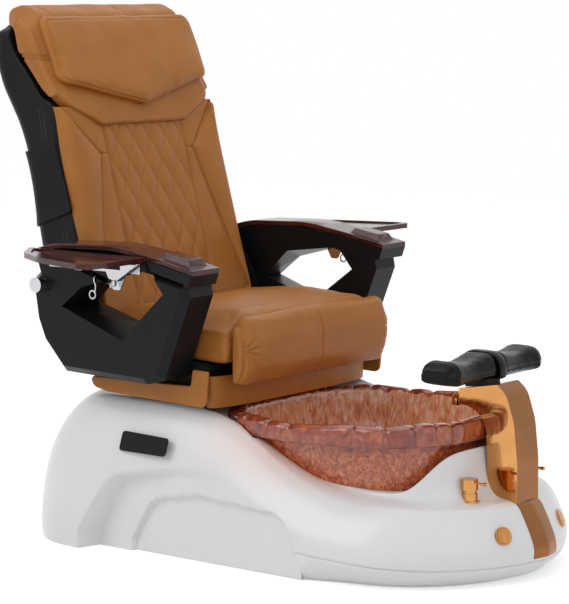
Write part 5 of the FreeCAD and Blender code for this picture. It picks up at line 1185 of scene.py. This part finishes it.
def shell_dents(p, n):
    """Seam down each side, 46 mm behind the front edge, and two down the rear."""
    x, y, z = p.T
    on_side = np.abs(n[:, 1]) > 0.7
    seam = np.where(on_side, ridge(x - shell_front(z) + 46.0, 2.5), 0.0)
    rear_seam = np.where(n[:, 0] < -0.3, ridge(np.abs(y) - 175.0, 3.0), 0.0)
    return -2.2 * seam - 2.2 * rear_seam + 1.3 * soft_noise(p, 120.0, 31)


dented(shell, shell_dents)
dress(shell, black_hide)
settle(shell, "back", "black_leather", "back_shell")


def band_surface():
    """Sewn band round the sides and rear of the shell: its edges slant and stand a little off the cover."""
    rows = []
    for share in np.linspace(0, 1, 34):
        level = 760.0 + 190.0 * share
        base = shell_ring(level, 3.0, 420)
        keep = base[base[:, 0] < shell_front(level) - 3.0]
        foremost = np.argmin(np.where(keep[:, 1] > 280, -keep[:, 0], np.inf))
        keep = resampled(np.roll(keep, -foremost, axis=0), 150, closed=False)
        slant_low = np.interp(keep[:, 0], [-600.0, -440.0], [758.0, 812.0])
        slant_high = np.interp(keep[:, 0], [-640.0, -480.0], [944.0, 980.0])
        height = slant_low * (1 - share) + slant_high * share
        shift = shell_rear(height) - shell_rear(level)
        flare = 3.0 * ridge(share, 0.12) + 1.0 * ridge(share - 1, 0.1)
        outwards = np.sign(keep[:, 1]) * (np.abs(keep[:, 1]) > 250)
        rows.append(np.column_stack([keep[:, 0] + shift, keep[:, 1] + outwards * flare, height]))
    return np.array(rows)


grid = band_surface()
band = as_object("cover_band", grid, grid_quads(*grid.shape[:2], False))
leather = band.modifiers.new("sheet", "SOLIDIFY")
leather.thickness = 2.6 * MM
leather.offset = 0
dress(band, black_hide)
settle(band, "back", "black_leather", "back_band")


# Stitching: each path lies in the air before or beside its piece, and thread() drops it on the leather

def upright(x, y, z):
    """A path up the piece; x and y may each be one value or one for every height."""
    return np.column_stack(np.broadcast_arrays(x, y, z))


quilt_z, shoulder_z = np.linspace(560, 1004, 60), np.linspace(948, 1040, 20)
below_turn = quilt_z[quilt_z < TURN - 4]
paths = []
for _, side in SIDES:
    paths += [upright(-300.0, side * (bolster_line(below_turn) + shift), below_turn) for shift in (-6.0, 6.0)]
    paths.append(upright(-300.0, side * (QUILT + 6.0), quilt_z))
    paths.append(upright(-300.0, side * (shoulder_line(shoulder_z) + 6.0), shoulder_z))
thread("back_stitching", "back", back, paths, (-1, 0, 0), thread_tan)

paths = [upright(140.0, y, np.linspace(425, 584, 40)) for y in (-6.5, 10.5)]
thread("front_seam_stitching", "seat", roll, paths, (-1, 0, 0), thread_tan)

inset = resampled(PILLOW_MIDDLE + (rounded_line(PILLOW, 10) - PILLOW_MIDDLE) * 0.93, 300)
thread("pillow_stitching", "back", pillow, [upright(-420.0, *inset.T)], (-1, 0, 0), thread_tan)

for side_name, side in SIDES:
    paths = []
    for behind in (40.0, 52.0):
        for low, high in ((520, 752), (985, 1058)):
            z = np.linspace(low, high, 40)
            paths.append(upright(shell_front(z) - behind, side * 340.0, z))
    thread("cover_stitching_" + side_name, "back", shell, paths, (0, -side, 0), thread_grey)


# Finishes of the pieces that keep their own solid

FINISHES = (
    (grey_steel, "base_frame bowl_cradle slide_rails recline_actuator"),
    (black_steel, "seat_pedestal seat_frame arm_pivots back_frame"),
    (satin_black, "drain_pump jet_impeller cushion_bracket massage_carriage armrest_panel armrest_cap"),
    (roller_rubber, "levelling_feet massage_rollers"),
    (chrome, "bowl_drain drain_stopper jet_housing massage_rails lock_knob"),
    (chrome, "tray_bracket tray_strut release_lever"),
    (rose_gold, "button_bezels nose_button valve_bodies valve_handle water_spout"),
    (wood, "armrest_top tray"),
)
FINISH_OF = {name: material for material, names in FINISHES for name in names.split()}
# Bevel widths of the nodes whose edges show
EDGES = {"armrest_panel": 2.2, "armrest_top": 2.5, "armrest_cap": 1.8, "tray": 4.0, "seat_frame": 2.0,
         "seat_pedestal": 2.0, "cushion_bracket": 1.0}
for name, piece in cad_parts.items():
    if piece.hide_render:
        continue
    plain = name.removesuffix("_right").removesuffix("_left")
    dress(piece, FINISH_OF[plain])
    if plain in EDGES:
        soften(piece, EDGES[plain], merge=True)


# Studio

def plain_floor():
    """Pale floor that glows a little more where the camera or a reflection sees it, and keeps the shadow."""
    mesh = bpy.data.meshes.new("floor")
    mesh.from_pydata([(-9, -9, 0), (9, -9, 0), (9, 9, 0), (-9, 9, 0)], [], [(0, 1, 2, 3)])
    floor = bpy.data.objects.new("floor", mesh)
    bpy.context.scene.collection.objects.link(floor)
    material, tree, place = new_material("pale_studio_floor")
    path = add(tree, "ShaderNodeLightPath")
    cloud = add(tree, "ShaderNodeTexNoise", {"Vector": place, "Scale": per_mm(900)})
    tone = add(tree, "ShaderNodeMix",
               {"Factor": cloud.outputs["Fac"], MIX_A: linear("#F4F4F4"), MIX_B: linear("#F0F0F0")},
               data_type="RGBA")
    shader = add(tree, "ShaderNodeBsdfPrincipled",
                 {"Base Color": tone.outputs[2], "Roughness": 0.7, "Emission Color": (1, 1, 1, 1)})
    seen = add(tree, "ShaderNodeMath", {0: path.outputs["Is Camera Ray"], 1: path.outputs["Is Glossy Ray"]},
               operation="MAXIMUM")
    lift = add(tree, "ShaderNodeMath", {0: seen.outputs[0], 1: 0.45}, operation="MULTIPLY")
    tree.links.new(lift.outputs[0], shader.inputs["Emission Strength"])
    add(tree, "ShaderNodeOutputMaterial", {"Surface": shader.outputs["BSDF"]})
    dress(floor, material)
    floor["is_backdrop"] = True


def white_world():
    """White to the camera, to reflections and through the resin, dimmer as light on the object."""
    world = bpy.data.worlds.new("white_studio")
    bpy.context.scene.world = world
    world.use_nodes = True
    tree = world.node_tree
    tree.nodes.clear()
    path = add(tree, "ShaderNodeLightPath")
    seen = add(tree, "ShaderNodeMath", {0: path.outputs["Is Camera Ray"], 1: path.outputs["Is Glossy Ray"]},
               operation="MAXIMUM")
    seen = add(tree, "ShaderNodeMath", {0: seen.outputs[0], 1: path.outputs["Is Transmission Ray"]},
               operation="MAXIMUM")
    strength = add(tree, "ShaderNodeMapRange", {"Value": seen.outputs[0], "To Min": 0.55, "To Max": 1.0})
    background = add(tree, "ShaderNodeBackground", {"Color": (1, 1, 1, 1), "Strength": strength.outputs[0]})
    add(tree, "ShaderNodeOutputWorld", {"Surface": background.outputs[0]})


def soft_box(name, place, target, width, height, power):
    """A rectangular area light of that size in metres and power in watts, turned to its target."""
    light = bpy.data.lights.new(name, "AREA")
    light.shape = "RECTANGLE"
    light.size, light.size_y = width, height
    light.energy = power
    lamp = bpy.data.objects.new(name, light)
    lamp.location = place
    lamp.rotation_euler = (Vector(target) - Vector(place)).to_track_quat("-Z", "Y").to_euler()
    bpy.context.scene.collection.objects.link(lamp)


plain_floor()
white_world()
soft_box("key", (-1.2, -3.6, 3.6), (0, 0, 0.6), 3.0, 3.0, 58)
soft_box("fill", (3.8, -1.0, 2.0), (0, 0, 0.5), 2.2, 2.4, 12)
soft_box("top", (0.2, 0.4, 3.8), (0, 0, 0.5), 3.2, 3.2, 26)

# The photograph's viewing angle: the eye's place in metres, and the direction that it looks in
camera = bpy.data.cameras.new("camera")
camera.sensor_fit = "VERTICAL"
camera.sensor_height = 36.0
camera.lens = 2456.788 / 604 * camera.sensor_height  # focal length in pixels over the picture's height
camera.clip_end = 60.0
eye = bpy.data.objects.new("camera", camera)
eye.location = (3.68803, -4.75242, 1.36144)
eye.rotation_euler = Vector((-0.610615, 0.781552, -0.127772)).to_track_quat("-Z", "Y").to_euler()
bpy.context.scene.collection.objects.link(eye)
bpy.context.scene.camera = eye
bpy.context.scene.view_settings.view_transform = "Standard"

low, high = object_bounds()
